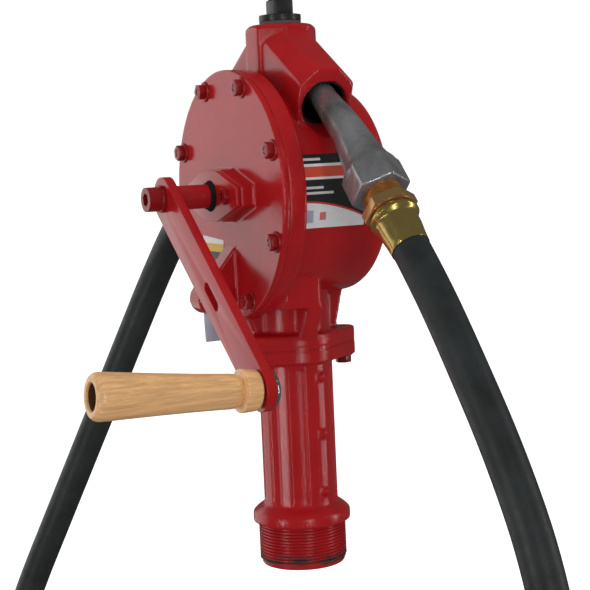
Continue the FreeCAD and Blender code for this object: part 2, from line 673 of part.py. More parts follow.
def hex_bolt(name, shank, length, washer, washer_thickness, hexagon, hexagon_height):
    """A flanged hexagon bolt: head up from local Z = 0, shank down."""
    return fuse(name,
                cyl(name + "_shank", shank, length + 0.5, (0, 0, -length)),
                cyl(name + "_washer", washer, washer_thickness),
                prism(name + "_hex", 6, hexagon, hexagon_height, (0, 0, washer_thickness)),
                cone(name + "_crown", hexagon * 0.86, hexagon * 0.7, 0.6,
                     (0, 0, washer_thickness + hexagon_height)))


def make_flange_bolts():
    under = d["adapter_height"] - d["adapter_flange_thickness"]
    length = d["adapter_flange_thickness"] + d["inlet_gasket_thickness"] \
        + d["housing_flange_thickness"] - 1.5
    upside = Rotation(Vector(1, 0, 0), 180)
    for word, side in (("front", -1), ("back", 1)):
        bolt = hex_bolt("flange_bolt_%s_made" % word, d["cover_bolt_radius"], length,
                        d["cover_bolt_washer_radius"] * 0.92, 1.0,
                        d["cover_bolt_hex_radius"], d["cover_bolt_hex_height"])
        put(bolt, (0, d["oval_bolt_offset"] * side, under), upside)
        keep("flange_bolt_%s" % word, bolt)


# Housing ---------------------------------------------------------------------------------
def arm_blank(word, direction):
    """One side arm: an eight-sided bar along its sloping bore, cut by its end face."""
    points = [(-d["arm_crown_half_width"], d["arm_crown"]),
              (-d["arm_half_width"], d["arm_shoulder"]),
              (-d["arm_half_width"], -d["arm_flank"]),
              (-d["arm_sole_half_width"], -d["arm_sole"]),
              (d["arm_sole_half_width"], -d["arm_sole"]),
              (d["arm_half_width"], -d["arm_flank"]),
              (d["arm_half_width"], d["arm_shoulder"]),
              (d["arm_crown_half_width"], d["arm_crown"])]
    side = 1 if direction[0] > 0 else -1
    turn = frame_to(direction, (0, side, 0))
    bar = extrude("arm_%s_bar" % word, points, d["arm_root"] + 14,
                  ((d["arm_reach"] - d["arm_root"] * arm_cos) * side, 0,
                   d["arm_mouth_height"] + d["arm_root"] * arm_sin), turn)
    normal = face_dir if side > 0 else mirrored(face_dir)
    face = frame_to(normal, (0, side, 0))
    trim = box("arm_%s_trim" % word, 90, 90, 60, (0, 0, 0), face)
    low = face.multVec(Vector(-45, -45, 0))
    put(trim, (d["arm_reach"] * side + low.x, low.y, d["arm_mouth_height"] + low.z), face)
    return cut("arm_%s" % word, bar, trim)


def make_housing():
    z = shaft_z
    drum = cyl("drum", d["drum_radius"], d["drum_back"] + d["rim_back"] + 2,
               (0, -d["rim_back"] - 2, z), TO_BACK)
    doc.recompute()
    rounded = doc.addObject("Part::Fillet", "drum_rounded")
    rounded.Base = drum
    rounded.Edges = [(number, d["drum_round"].value, d["drum_round"].value)
                     for number, edge in enumerate(drum.Shape.Edges, start=1)
                     if edge.BoundBox.YMin > d["drum_back"].value - 0.01]
    rim = cyl("rim", d["cover_radius"], housing_front - d["rim_back"],
              (0, -housing_front, z), TO_BACK)
    neck = cyl("neck", d["column_radius"], z - neck_bottom, (0, 0, neck_bottom))
    block = box("neck_block", d["neck_block_half_width"] * 2, d["neck_block_depth"],
                d["neck_block_height"],
                (-d["neck_block_half_width"], -d["neck_block_depth"], d["neck_block_bottom"]))
    flange = oval("housing_oval", d["housing_flange_thickness"], gasket_top)
    half = d["web_thickness"] * 0.5
    back_web = extrude("web_back", [
        (d["column_radius"] - 5, neck_bottom - 1), (d["column_radius"] + 6.6, neck_bottom - 1),
        (d["column_radius"] + 6.6, neck_bottom),
        (d["column_radius"] + 15, z - d["drum_radius"] + 10),
        (d["column_radius"] - 5, z - d["drum_radius"] + 10)],
        d["web_thickness"], (-half, 0, 0),
        frame_to((1, 0, 0), (0, 1, 0)))
    front_web = extrude("web_front", [
        (-d["column_radius"] + 5, neck_bottom - 1), (-d["column_radius"] - 6.6, neck_bottom - 1),
        (-d["column_radius"] - 6.6, neck_bottom),
        (-housing_front, z - d["cover_radius"] + 8),
        (-d["column_radius"] + 5, z - d["cover_radius"] + 8)],
        d["web_thickness"], (-half, 0, 0),
        frame_to((1, 0, 0), (0, 1, 0)))
    eighth = Rotation(Vector(0, 0, 1), 22.5)
    boss = prism("boss", 8, d["boss_apothem"] / math.cos(math.radians(22.5)),
                 d["boss_top"] - d["boss_bottom"] - d["boss_round"],
                 (0, 0, d["boss_bottom"]), eighth)
    top = doc.addObject("Part::Cone", "boss_crown")
    bind(top, "Radius1", d["boss_apothem"])
    bind(top, "Radius2", d["boss_apothem"] - d["boss_round"])
    bind(top, "Height", d["boss_round"])
    put(top, (0, 0, d["boss_top"] - d["boss_round"]))
    blank = fuse("housing_blank", rounded, rim, neck, block, flange, back_web, front_web,
                 boss, top, arm_blank("holster", arm_dir), arm_blank("outlet", mirrored(arm_dir)))

    chamber = cyl("chamber", d["chamber_radius"], d["chamber_back"] + housing_front + 5,
                  (d["chamber_offset"], -housing_front - 5, z), TO_BACK)
    neck_bore = cyl("neck_bore", d["neck_bore_radius"],
                    z - d["chamber_radius"] * 0.9 - gasket_top + 1, (0, 0, gasket_top - 1))
    passage = cyl("passage", d["passage_radius"],
                  d["boss_top"] - z - d["chamber_radius"] * 0.9 + 1,
                  (0, 0, z + d["chamber_radius"] * 0.9))
    plug_hole = cyl("plug_hole", d["plug_thread_radius"] + d["tap_clearance"],
                    d["plug_thread_length"] + 3,
                    (0, 0, d["boss_top"] - d["plug_thread_length"] - 2))
    back_pocket = cyl("rear_bushing_hole", d["rear_bushing_radius"],
                      d["rear_bushing_length"] + 1,
                      (0, d["chamber_back"] - 1, z), TO_BACK)
    holster = cyl("holster_bore", d["holster_radius"], d["holster_depth"] + 30,
                  (d["arm_reach"] - d["holster_depth"] * arm_cos, 0,
                   d["arm_mouth_height"] + d["holster_depth"] * arm_sin),
                  frame_to(arm_dir, (0, 1, 0)))
    left = mirrored(arm_dir)
    outlet = cyl("outlet_bore", d["outlet_radius"], d["outlet_depth"] + 30,
                 (-d["arm_reach"] + d["outlet_depth"] * arm_cos, 0,
                  d["arm_mouth_height"] + d["outlet_depth"] * arm_sin),
                 frame_to(left, (0, -1, 0)))
    outlet_way = cyl("outlet_way", d["passage_radius"] - 1.0, d["arm_reach"],
                     (-d["arm_reach"] + d["arm_reach"] * arm_cos, 0,
                      d["arm_mouth_height"] + d["arm_reach"] * arm_sin),
                     frame_to(left, (0, -1, 0)))
    tools = [chamber, neck_bore, passage, plug_hole, back_pocket, holster, outlet, outlet_way]
    tools += flange_holes("housing", d["cover_bolt_radius"] + d["tap_clearance"],
                          d["housing_flange_thickness"] + 1, gasket_top - 1)
    tools += bolt_holes("rim", d["cover_bolt_radius"] + d["tap_clearance"],
                        d["cover_bolt_length"] - d["cover_thickness"]
                        - d["cover_gasket_thickness"] + 1, housing_front)
    casting = cut("housing_casting", blank, *tools)
    return keep("pump_housing", casting)


def bolt_spots():
    count = int(round(d["cover_bolt_count"].value))
    for i in range(count):
        angle = math.radians(22.5 + 360.0 * i / count)
        yield i + 1, d["cover_bolt_circle"] * math.cos(angle), \
            d["cover_bolt_circle"] * math.sin(angle)


def bolt_holes(name, radius, length, front):
    """Holes that run back from a face in front of the column axis."""
    return [cyl("%s_bolt_hole_%d" % (name, i), radius, length + 1,
                (x, -front - 1, shaft_z + y), TO_BACK) for i, x, y in bolt_spots()]


# Cover side ------------------------------------------------------------------------------
def gland_outline(margin):
    w, e = d["gland_half_width"] + margin, d["gland_end_half_height"] + margin * 0.6
    c, t = d["gland_crown_half_width"] + margin * 0.6, d["gland_half_height"] + margin
    return [(w, -e), (w, e), (c, t), (-c, t), (-w, e), (-w, -e), (-c, -t), (c, -t)]


def make_cover():
    body = new_body("cover_body")
    pad(body, "cover_disc", d["cover_thickness"], circle=(d["cover_radius"],))
    boss_height = d["cover_thickness"] + d["gland_boss_height"]
    pad(body, "cover_boss", boss_height, points=gland_outline(d["gland_boss_margin"]))
    hole = pocket(body, "cover_bolt_hole", d["cover_thickness"] + 1,
                  circles=[(d["cover_bolt_radius"] + d["bolt_clearance"],
                            d["cover_bolt_circle"] * math.cos(math.radians(22.5)),
                            d["cover_bolt_circle"] * math.sin(math.radians(22.5)))])
    around(body, "cover_bolt_holes", hole, d["cover_bolt_count"])
    put(body, (0, -cover_inner, shaft_z), TO_FRONT)
    front = -d["cover_front"]
    reach = d["lug_reach"]
    low, high = d["lug_bottom_height"], d["lug_apex_height"]
    rise = high - low
    lug = extrude("lock_lug", [
        (front + 2, high + 1), (front, high), (front - reach * 0.42, low + rise * 0.68),
        (front - reach * 0.82, low + rise * 0.46), (front - reach * 0.97, low + rise * 0.32),
        (front - reach, low + rise * 0.2), (front - reach * 0.93, low + rise * 0.09),
        (front - reach * 0.78, low + rise * 0.01), (front - reach * 0.6, low),
        (front + 2, low + 1.5)],
        d["lug_half_width"] * 2, (-d["lug_half_width"], 0, 0),
        frame_to((1, 0, 0), (0, 1, 0)))
    slot = box("lug_slot", d["tab_thickness"] + 0.2, 17, 14,
               (d["tab_thickness"] * -0.5 - 0.1, front - reach * 0.78, low - 1))
    bushing_hole = cyl("cover_bushing_hole", d["front_bushing_radius"], boss_height + 2,
                       (0, -packing_back, shaft_z), TO_BACK)
    packing_box = cyl("cover_packing_box", d["packing_radius"], d["packing_depth"] + 1,
                      (0, -gland_seat - 1, shaft_z), TO_BACK)
    screw_holes = [cyl("cover_screw_hole_%s" % word,
                       d["gland_screw_radius"] + d["tap_clearance"], d["gland_screw_length"],
                       (d["gland_screw_offset"] * side, -gland_seat - 0.5, shaft_z), TO_BACK)
                   for word, side in (("left", -1), ("right", 1))]
    cover = cut("cover_made", fuse("cover_blank", body, lug), slot, bushing_hole, packing_box,
                *screw_holes)
    keep("cover_plate", cover)

    gasket = new_body("cover_gasket_body")
    pad(gasket, "cover_gasket_disc", d["cover_gasket_thickness"], circle=(d["cover_radius"],))
    pocket(gasket, "cover_gasket_bore_cut", d["cover_gasket_thickness"] + 1,
           circles=[(d["cover_gasket_bore"],)])
    hole = pocket(gasket, "cover_gasket_hole", d["cover_gasket_thickness"] + 1,
                  circles=[(d["cover_bolt_radius"] + d["bolt_clearance"],
                            d["cover_bolt_circle"] * math.cos(math.radians(22.5)),
                            d["cover_bolt_circle"] * math.sin(math.radians(22.5)))])
    around(gasket, "cover_gasket_holes", hole, d["cover_bolt_count"])
    put(gasket, (0, -housing_front, shaft_z), TO_FRONT)
    keep("cover_gasket", gasket)

    for i, x, y in bolt_spots():
        bolt = hex_bolt("cover_bolt_%d_made" % i, d["cover_bolt_radius"],
                        d["cover_bolt_length"], d["cover_bolt_washer_radius"],
                        d["cover_bolt_washer_thickness"], d["cover_bolt_hex_radius"],
                        d["cover_bolt_hex_height"])
        put(bolt, (x, -d["cover_front"], shaft_z + y), TO_FRONT)
        keep("cover_bolt_%d" % i, bolt)

    tab_top = low + 12.0
    tab = extrude("tab_made", [
        (front - reach * 0.26, tab_top), (front - reach * 0.26, low - d["tab_drop"]),
        (front - reach * 0.74, low - d["tab_drop"]), (front - reach * 0.76, low - 1),
        (front - reach * 0.76, tab_top)],
        d["tab_thickness"], (d["tab_thickness"] * -0.5, 0, 0),
        frame_to((1, 0, 0), (0, 1, 0)))
    keep("lock_tab", tab)


def make_gland():
    plate = new_body("gland_body")
    pad(plate, "gland_blank", d["gland_thickness"], points=gland_outline(size(0)))
    pocket(plate, "gland_shaft_hole", d["gland_thickness"] + 1,
           circles=[(d["packing_lip_radius"],)])
    pocket(plate, "gland_screw_holes", d["gland_thickness"] + 1,
           circles=[(d["gland_screw_radius"] + d["bolt_clearance"], d["gland_screw_offset"], 0),
                    (d["gland_screw_radius"] + d["bolt_clearance"],
                     -d["gland_screw_offset"], 0)])
    put(plate, (0, -gland_seat, shaft_z), TO_FRONT)
    keep("gland_plate", plate)

    shank = d["gland_screw_length"] - 1
    for word, side in (("left", -1), ("right", 1)):
        screw = turned("gland_screw_%s" % word, [
            (0, -shank), (d["gland_screw_radius"], -shank), (d["gland_screw_radius"], 0),
            (d["gland_screw_head_radius"], 0),
            (d["gland_screw_head_radius"], d["gland_screw_head_height"] * 0.35),
            (d["gland_screw_head_radius"] * 0.8, d["gland_screw_head_height"] * 0.8),
            (d["gland_screw_head_radius"] * 0.45, d["gland_screw_head_height"]),
            (0, d["gland_screw_head_height"])])
        put(screw, (d["gland_screw_offset"] * side, -gland_front, shaft_z), TO_FRONT)
        keep("gland_screw_%s" % word, screw)

    inner = d["shaft_radius"] + d["running_clearance"]
    lip_top = d["packing_depth"] + d["gland_thickness"] + d["packing_lip_proud"]
    packing = turned("packing", [
        (inner, 0), (d["packing_radius"], 0), (d["packing_radius"], d["packing_depth"]),
        (d["packing_lip_radius"], d["packing_depth"]), (d["packing_lip_radius"], lip_top),
        (inner, lip_top)])
    put(packing, (0, -packing_back, shaft_z), TO_FRONT)
    keep("shaft_packing", packing)

    front_length = packing_back - cover_inner
    bushing = turned("front_bushing", [
        (inner, 0), (d["front_bushing_radius"], 0), (d["front_bushing_radius"], front_length),
        (inner, front_length)])
    put(bushing, (0, -cover_inner, shaft_z), TO_FRONT)
    keep("front_bushing", bushing)
    rear = turned("rear_bushing", [
        (inner, 0), (d["rear_bushing_radius"], 0),
        (d["rear_bushing_radius"], d["rear_bushing_length"]),
        (inner, d["rear_bushing_length"])])
    put(rear, (0, d["chamber_back"], shaft_z), TO_BACK)
    keep("rear_bushing", rear)


# Top plug --------------------------------------------------------------------------------
def make_plug():
    gasket = turned("plug_gasket", [
        (d["plug_thread_radius"], 0), (d["plug_gasket_radius"] + 0.6, 0),
        (d["plug_gasket_radius"] + 0.6, d["plug_gasket_thickness"]),
        (d["plug_thread_radius"], d["plug_gasket_thickness"])])
    put(gasket, (0, 0, d["boss_top"]))
    keep("plug_gasket", gasket)
    under = d["boss_top"] + d["plug_gasket_thickness"]
    stem = d["plug_thread_length"] + d["plug_gasket_thickness"]
    turned_part = turned("plug_stem", [
        (0, -stem), (d["plug_thread_radius"] - 1.0, -stem),
        (d["plug_thread_radius"], 1 - stem), (d["plug_thread_radius"], 0),
        (d["plug_flange_radius"], 0),
        (d["plug_flange_radius"], d["plug_flange_thickness"] - 1),
        (d["plug_flange_radius"] - 1, d["plug_flange_thickness"]),
        (0, d["plug_flange_thickness"])])
    head_box = box("plug_head_box", d["plug_head_width"], d["plug_head_width"],
                   d["plug_head_height"] + 1,
                   (d["plug_head_width"] * -0.5, d["plug_head_width"] * -0.5,
                    d["plug_flange_thickness"] - 1))
    dome = doc.addObject("Part::Sphere", "plug_head_dome")
    bind(dome, "Radius", d["plug_head_width"] * 0.92)
    put(dome, (0, 0, d["plug_flange_thickness"] + d["plug_head_height"]
               - d["plug_head_width"] * 0.92))
    head = doc.addObject("Part::MultiCommon", "plug_head")
    head.Shapes = [head_box, dome]
    vent = cyl("plug_vent", 1.6, 6, (0, 0, d["plug_flange_thickness"]
                                     + d["plug_head_height"] - 4))
    plug = cut("plug_made", fuse("plug_blank", turned_part, head), vent)
    put(plug, (0, 0, under))
    keep("filler_plug", plug)


# Rotor -----------------------------------------------------------------------------------
def make_rotor():
    front = cover_inner - d["rotor_end_gap"]
    back = d["chamber_back"] - d["rotor_end_gap"]
    length = front + back
    blank = cyl("rotor_blank", d["rotor_radius"], length, (0, 0, 0))
    bore = cyl("rotor_bore", d["shaft_radius"], length + 2, (0, 0, -1))
    slot_half = d["vane_thickness"] * 0.5 + d["vane_clearance"]
    slots = [
        box("rotor_slot_%s" % word, size_x, size_y, length + 2, (x, y, -1))
        for word, size_x, size_y, x, y in (
            ("right", d["rotor_radius"], slot_half * 2, d["vane_slot_bottom"], -slot_half),
            ("left", d["rotor_radius"], slot_half * 2,
             -d["vane_slot_bottom"] - d["rotor_radius"], -slot_half),
            ("up", slot_half * 2, d["rotor_radius"], -slot_half, d["vane_slot_bottom"]),
            ("down", slot_half * 2, d["rotor_radius"], -slot_half,
             -d["vane_slot_bottom"] - d["rotor_radius"]))]
    half_key = d["key_width"] * 0.5
    key_start = (length - d["key_length"]) * 0.5
    keyway = box("rotor_keyway", half_key + d["shaft_radius"], d["key_width"], length + 2,
                 (0, -half_key, -1))
    rotor = cut("rotor_made", blank, bore, keyway, *slots)
    put(rotor, (0, back, shaft_z), TO_FRONT)
    keep("rotor", rotor)

    key = box("key_made", d["key_width"], d["key_width"], d["key_length"],
              (d["shaft_radius"] - half_key, back - key_start, shaft_z - half_key), TO_FRONT)
    keep("rotor_key", key)

    tip = d["chamber_radius"] - d["chamber_offset"] - d["vane_tip_gap"]
    vane_length = length
    for word, angle in (("right", 0), ("up", 90), ("left", 180), ("down", 270)):
        turn = TO_FRONT * Rotation(Vector(0, 0, 1), angle)
        vane = extrude("vane_%s_made" % word, [
            (tip - d["vane_height"], d["vane_thickness"] * -0.5),
            (tip - 1.2, d["vane_thickness"] * -0.5), (tip, d["vane_thickness"] * -0.1),
            (tip, d["vane_thickness"] * 0.1), (tip - 1.2, d["vane_thickness"] * 0.5),
            (tip - d["vane_height"], d["vane_thickness"] * 0.5)],
            vane_length, (0, back, shaft_z), turn)
        keep("vane_%s" % word, vane)
        under = tip - d["vane_height"] - 0.1
        low = under - d["leaf_rise"] - d["leaf_thickness"]
        half = d["leaf_half_length"]
        t = d["leaf_thickness"]
        leaf = extrude("leaf_%s_made" % word, [
            (low, -half), (low + d["leaf_rise"] * 0.75, half * -0.5),
            (low + d["leaf_rise"], 0), (low + d["leaf_rise"] * 0.75, half * 0.5),
            (low, half), (low + t, half), (low + d["leaf_rise"] * 0.75 + t, half * 0.5),
            (low + d["leaf_rise"] + t, 0), (low + d["leaf_rise"] * 0.75 + t, half * -0.5),
            (low + t, -half)],
            d["vane_thickness"] - 0.4, (0, 0, 0),
            Rotation())
        middle = (back - front) * 0.5
        leaf_turn = turn * frame_to((0, 1, 0), (1, 0, 0))
        side = turn.multVec(Vector(0, -(d["vane_thickness"].value - 0.4) * 0.5, 0))
        put(leaf, (side.x, middle + side.y, shaft_z + side.z), leaf_turn)
        keep("vane_spring_%s" % word, leaf)

    shaft_front = d["crank_front"] - 0.3
    shaft = cyl("shaft_blank", d["shaft_radius"], shaft_front + d["shaft_back"],
                (0, 0, 0))
    flat = d["shaft_radius"] - d["tenon_half_width"]
    tenon_start = crank_back + d["shaft_back"]
    flats = [box("shaft_flat_%s" % word, d["shaft_radius"] * 2 + 2, flat + 1,
                 d["crank_thickness"] + 1,
                 (-d["shaft_radius"] - 1, y, tenon_start))
             for word, y in (("high", d["tenon_half_width"]),
                             ("low", -d["tenon_half_width"] - flat - 1))]
    tapped = cyl("shaft_tapped", d["crank_screw_radius"] + d["tap_clearance"],
                 d["crank_screw_length"] + 2,
                 (0, 0, shaft_front + d["shaft_back"] - d["crank_screw_length"]))
    seat = box("shaft_keyseat", half_key + 1, d["key_width"], d["key_length"],
               (d["shaft_radius"] - half_key, -half_key,
                d["shaft_back"] - back + key_start))
    made = cut("shaft_made", shaft, tapped, seat, *flats)
    put(made, (0, d["shaft_back"], shaft_z), TO_FRONT)
    keep("rotor_shaft", made)


# Crank -----------------------------------------------------------------------------------
CRANK_TURN = TO_FRONT * Rotation(Vector(0, 0, 1), -d["crank_droop"].value)
GRIP_X = d["crank_length"] * cosine(d["crank_droop"])
GRIP_Z = shaft_z - d["crank_length"] * sine(d["crank_droop"])
LEAN = d["grip_lean"].value
GRIP_DIR = (0, -math.cos(math.radians(LEAN)), math.sin(math.radians(LEAN)))


def make_crank():
    arm = new_body("crank_body")
    pad(arm, "crank_sides", d["crank_thickness"],
        points=tangent_hull(d["crank_hub_radius"], d["crank_tip_radius"], d["crank_length"]))
    pad(arm, "crank_hub", d["crank_thickness"], circle=(d["crank_hub_radius"],))
    pad(arm, "crank_tip", d["crank_thickness"],
        circle=(d["crank_tip_radius"], d["crank_length"]))
    through = d["crank_thickness"] + 1
    half = d["crank_slot_half_width"]
    pocket(arm, "crank_slot", through,
           points=[(d["crank_slot_start"], -half), (d["crank_slot_end"], -half),
                   (d["crank_slot_end"], half), (d["crank_slot_start"], half)])
    pocket(arm, "crank_slot_near", through, circles=[(half, d["crank_slot_start"], 0)])
    pocket(arm, "crank_slot_far", through, circles=[(half, d["crank_slot_end"], 0)])
    pocket(arm, "crank_pivot_hole", through,
           circles=[(d["grip_pin_radius"] + 0.6, d["crank_length"], 0)])
    put(arm, (0, -crank_back, shaft_z), CRANK_TURN)
    tenon = cyl("crank_tenon_round", d["shaft_radius"], d["crank_thickness"] + 2,
                (0, 0, 0))
    keeper = box("crank_tenon_flats", d["shaft_radius"] * 3, d["tenon_half_width"] * 2,
                 d["crank_thickness"] + 2,
                 (d["shaft_radius"] * -1.5, -d["tenon_half_width"], 0))
    tenon_hole = doc.addObject("Part::MultiCommon", "crank_tenon_hole")
    tenon_hole.Shapes = [tenon, keeper]
    put(tenon_hole, (0, 1 - crank_back, shaft_z), TO_FRONT)
    keep("crank_arm", cut("crank_made", arm, tenon_hole))

    washer_body = turned("lock_washer", [
        (d["crank_screw_radius"] + 0.4, 0), (d["lock_washer_radius"], 0),
        (d["lock_washer_radius"], d["lock_washer_thickness"]),
        (d["crank_screw_radius"] + 0.4, d["lock_washer_thickness"])])
    gap = box("lock_washer_cut", d["lock_washer_radius"] + 2, d["lock_washer_gap"],
              d["lock_washer_thickness"] + 2,
              (0, d["lock_washer_gap"] * -0.5, -1), Rotation(Vector(0, 0, 1), 65))
    washer = cut("lock_washer_made", washer_body, gap)
    put(washer, (0, -d["crank_front"], shaft_z), TO_FRONT)
    keep("lock_washer", washer)

    head_seat = d["crank_front"] + d["lock_washer_thickness"]
    shank = d["crank_screw_length"] + d["lock_washer_thickness"]
    screw_body = turned("crank_screw", [
        (0, -shank), (d["crank_screw_radius"] - 0.8, -shank),
        (d["crank_screw_radius"], 0.8 - shank), (d["crank_screw_radius"], 0),
        (d["crank_screw_head_radius"], 0),
        (d["crank_screw_head_radius"], d["crank_screw_head_height"] - 0.8),
        (d["crank_screw_head_radius"] - 0.8, d["crank_screw_head_height"]),
        (0, d["crank_screw_head_height"])])
    socket = prism("crank_screw_hex", 6, d["crank_screw_socket"],
                   d["crank_screw_socket_depth"] + 1,
                   (0, 0, d["crank_screw_head_height"] - d["crank_screw_socket_depth"]))
    screw = cut("crank_screw_made", screw_body, socket)
    put(screw, (0, -head_seat, shaft_z), TO_FRONT)
    keep("crank_screw", screw)

    spacer = turned("spacer", [
        (d["shaft_radius"], 0), (d["spacer_radius"], 0),
        (d["spacer_radius"], d["spacer_thickness"]),
        (d["shaft_radius"], d["spacer_thickness"])])
    put(spacer, (0, d["spacer_thickness"] - crank_back, shaft_z), TO_FRONT)
    keep("shaft_spacer", spacer)


def make_grip():
    turn = frame_to(GRIP_DIR, (1, 0, 0))
    pivot = (GRIP_X, -d["crank_front"], GRIP_Z)
    a, b = d["grip_start"], d["grip_start"] + d["grip_length"]
    inner = d["grip_pin_radius"] + d["grip_pin_clearance"]
    foot, bead, neck = d["grip_foot_radius"], d["grip_bead_radius"], d["grip_neck_radius"]
    fat, recess = d["grip_end_radius"], d["grip_recess_radius"]
    grip = turned("grip", [
        (inner, a), (foot, a), (foot + 0.3, a + 5), (bead - 0.5, a + 5.6), (bead, a + 7.5),
        (bead - 0.5, a + 10), (foot - 0.6, a + 12), (neck, a + 17),
        (fat, b - 5), (fat - 0.7, b - 2.4), (fat - 2.3, b - 0.7), (fat - 4, b), (recess, b),
        (recess, b - d["grip_recess_depth"]), (inner, b - d["grip_recess_depth"])])
    put(grip, pivot, turn)
    keep("wooden_grip", grip)

    head_at = b - d["grip_recess_depth"] + 0.4
    start = -d["crank_thickness"] - 1.2
    pin = turned("grip_pin", [
        (0, start), (d["grip_pin_radius"], start), (d["grip_pin_radius"], head_at),
        (d["grip_head_radius"], head_at),
        (d["grip_head_radius"], head_at + d["grip_head_height"] * 0.6),
        (d["grip_head_radius"] * 0.6, head_at + d["grip_head_height"]),
        (0, head_at + d["grip_head_height"])])
    put(pin, pivot, turn)
    keep("grip_pin", pin)

    nut = turned("grip_nut", [
        (d["grip_pin_radius"], 0), (d["grip_nut_radius"], 0),
        (d["grip_nut_radius"], d["grip_nut_height"] * 0.4),
        (d["grip_nut_radius"] * 0.8, d["grip_nut_height"] * 0.8),
        (d["grip_nut_radius"] * 0.5, d["grip_nut_height"]),
        (d["grip_pin_radius"], d["grip_nut_height"])])
    lean_drop = d["crank_thickness"] * math.tan(math.radians(LEAN))
    put(nut, (GRIP_X, -crank_back, GRIP_Z - lean_drop), TO_BACK)
    keep("grip_nut", nut)


# Hose, fittings and spout ----------------------------------------------------------------
def nipple(name, s, pos, turn):
    """Threaded nipple: local Z = 0 is where its thread leaves the socket."""
    t, h = d["nipple_thread_length"], d["nipple_hex_length"]
    neck_end = s + h + d["nipple_neck_length"]
    body = turned(name, [
        (d["nipple_bore_radius"], -t), (d["nipple_thread_radius"] - 1.2, -t),
        (d["nipple_thread_radius"], 1.5 - t), (d["nipple_thread_radius"], s + 0.5),
        (d["nipple_neck_radius"], s + 0.5), (d["nipple_neck_radius"], neck_end),
        (d["nipple_tail_radius"], neck_end),
        (d["nipple_tail_radius"], neck_end + d["ferrule_length"] - 0.5),
        (d["nipple_bore_radius"], neck_end + d["ferrule_length"] - 0.5)])
    hexagon = prism(name + "_hex", 6, d["nipple_hex_radius"], h, (0, 0, s))
    bore = cyl(name + "_bore", d["nipple_bore_radius"], h + 2, (0, 0, s - 1))
    made = fuse(name + "_made", body, cut(name + "_nut", hexagon, bore))
    put(made, pos, turn)
    return keep(name, made)


def ferrule(name, pos, turn):
    """Polished sleeve: local Z = 0 is its rim, the hose leaves at its far end."""
    tail = d["nipple_tail_radius"]
    length, rim = d["ferrule_length"], d["ferrule_rim_length"]
    body = turned(name, [
        (tail, 0), (d["ferrule_rim_radius"] - 0.6, 0), (d["ferrule_rim_radius"], 0.6),
        (d["ferrule_rim_radius"], rim), (d["ferrule_waist_radius"], rim + 2.2),
        (d["ferrule_waist_radius"] - 0.5, length * 0.55),
        (d["ferrule_end_radius"], length - 1.5), (d["hose_radius"] - 0.2, length),
        (tail, length)])
    put(body, pos, turn)
    return keep(name, body)


def make_fittings():
    left = mirrored(arm_dir)
    turn = frame_to(left, (0, -1, 0))
    collar = d["nipple_hex_length"] + d["nipple_neck_length"]
    nipple("outlet_nipple", d["outlet_stand_off"],
           (-d["arm_reach"], 0, d["arm_mouth_height"]), turn)
    lead = d["outlet_stand_off"] + collar
    ferrule("outlet_ferrule", (-d["arm_reach"] - lead * arm_cos, 0,
                               d["arm_mouth_height"] - lead * arm_sin), turn)

    turn = frame_to(body_dir, (0, 1, 0))
    c, s = cosine(d["spout_body_slope"]), sine(d["spout_body_slope"])
    x, z = d["spout_hose_x"], d["spout_hose_height"]

    def back(length):
        return (x - length * c, 0, z + length * s)

    ferrule("spout_ferrule", back(d["ferrule_length"]), turn)
    lead = d["nipple_stand_off"] + collar + d["ferrule_length"]
    nipple("spout_nipple", d["nipple_stand_off"], back(lead), turn)

    socket_start = lead + d["spout_socket_length"]
    bend = socket_start + d["spout_body_length"]
    socket = prism("spout_socket", 6, d["spout_socket_radius"], d["spout_socket_length"],
                   back(socket_start), turn)
    body = cone("spout_body", d["spout_body_start_radius"], d["spout_body_end_radius"],
                d["spout_body_length"] + 1, back(bend), turn)
    knuckle = doc.addObject("Part::Sphere", "spout_knuckle")
    bind(knuckle, "Radius", d["spout_body_start_radius"])
    put(knuckle, back(bend))
    slope = d["spout_pipe_slope"]
    pc, ps = cosine(slope), sine(slope)
    bx, by, bz = back(bend)
    tip = (bx - d["spout_pipe_length"] * pc, 0, bz + d["spout_pipe_length"] * ps)
    pipe_dir = (pc.value, 0, -ps.value)
    pipe_turn = frame_to(pipe_dir, (0, 1, 0))
    pipe = cone("spout_pipe", d["spout_tip_radius"], d["spout_root_radius"],
                d["spout_pipe_length"], tip, pipe_turn)
    pipe_bore = cyl("spout_pipe_bore", d["spout_bore_radius"], d["spout_pipe_length"] + 1,
                    (tip[0] - pc, 0, tip[2] + ps), pipe_turn)
    body_bore = cyl("spout_body_bore", d["spout_bore_radius"],
                    d["spout_body_length"] + d["spout_socket_length"],
                    back(bend), turn)
    socket_bore = cyl("spout_socket_bore", d["nipple_thread_radius"] + d["tap_clearance"],
                      d["nipple_thread_length"] + 4,
                      back(lead + d["nipple_thread_length"] + 2), turn)
    corner = doc.addObject("Part::Sphere", "spout_corner_bore")
    bind(corner, "Radius", d["spout_bore_radius"])
    put(corner, back(bend))
    spout = cut("spout_made", fuse("spout_blank", socket, body, knuckle, pipe),
                pipe_bore, body_bore, socket_bore, corner)
    keep("nozzle_spout", spout)


def hose_route():
    lead = d["outlet_stand_off"].value + d["nipple_hex_length"].value \
        + d["nipple_neck_length"].value + d["ferrule_length"].value
    outward = Vector(*mirrored(arm_dir))
    start = Vector(-d["arm_reach"].value, 0, d["arm_mouth_height"].value) + outward * lead
    end = Vector(d["spout_hose_x"].value, 0, d["spout_hose_height"].value)
    return [start, start + outward * d["hose_outlet_lead"].value] \
        + [Vector(*p) for p in ROUTE] \
        + [end + Vector(*body_dir) * d["hose_spout_lead"].value, end]


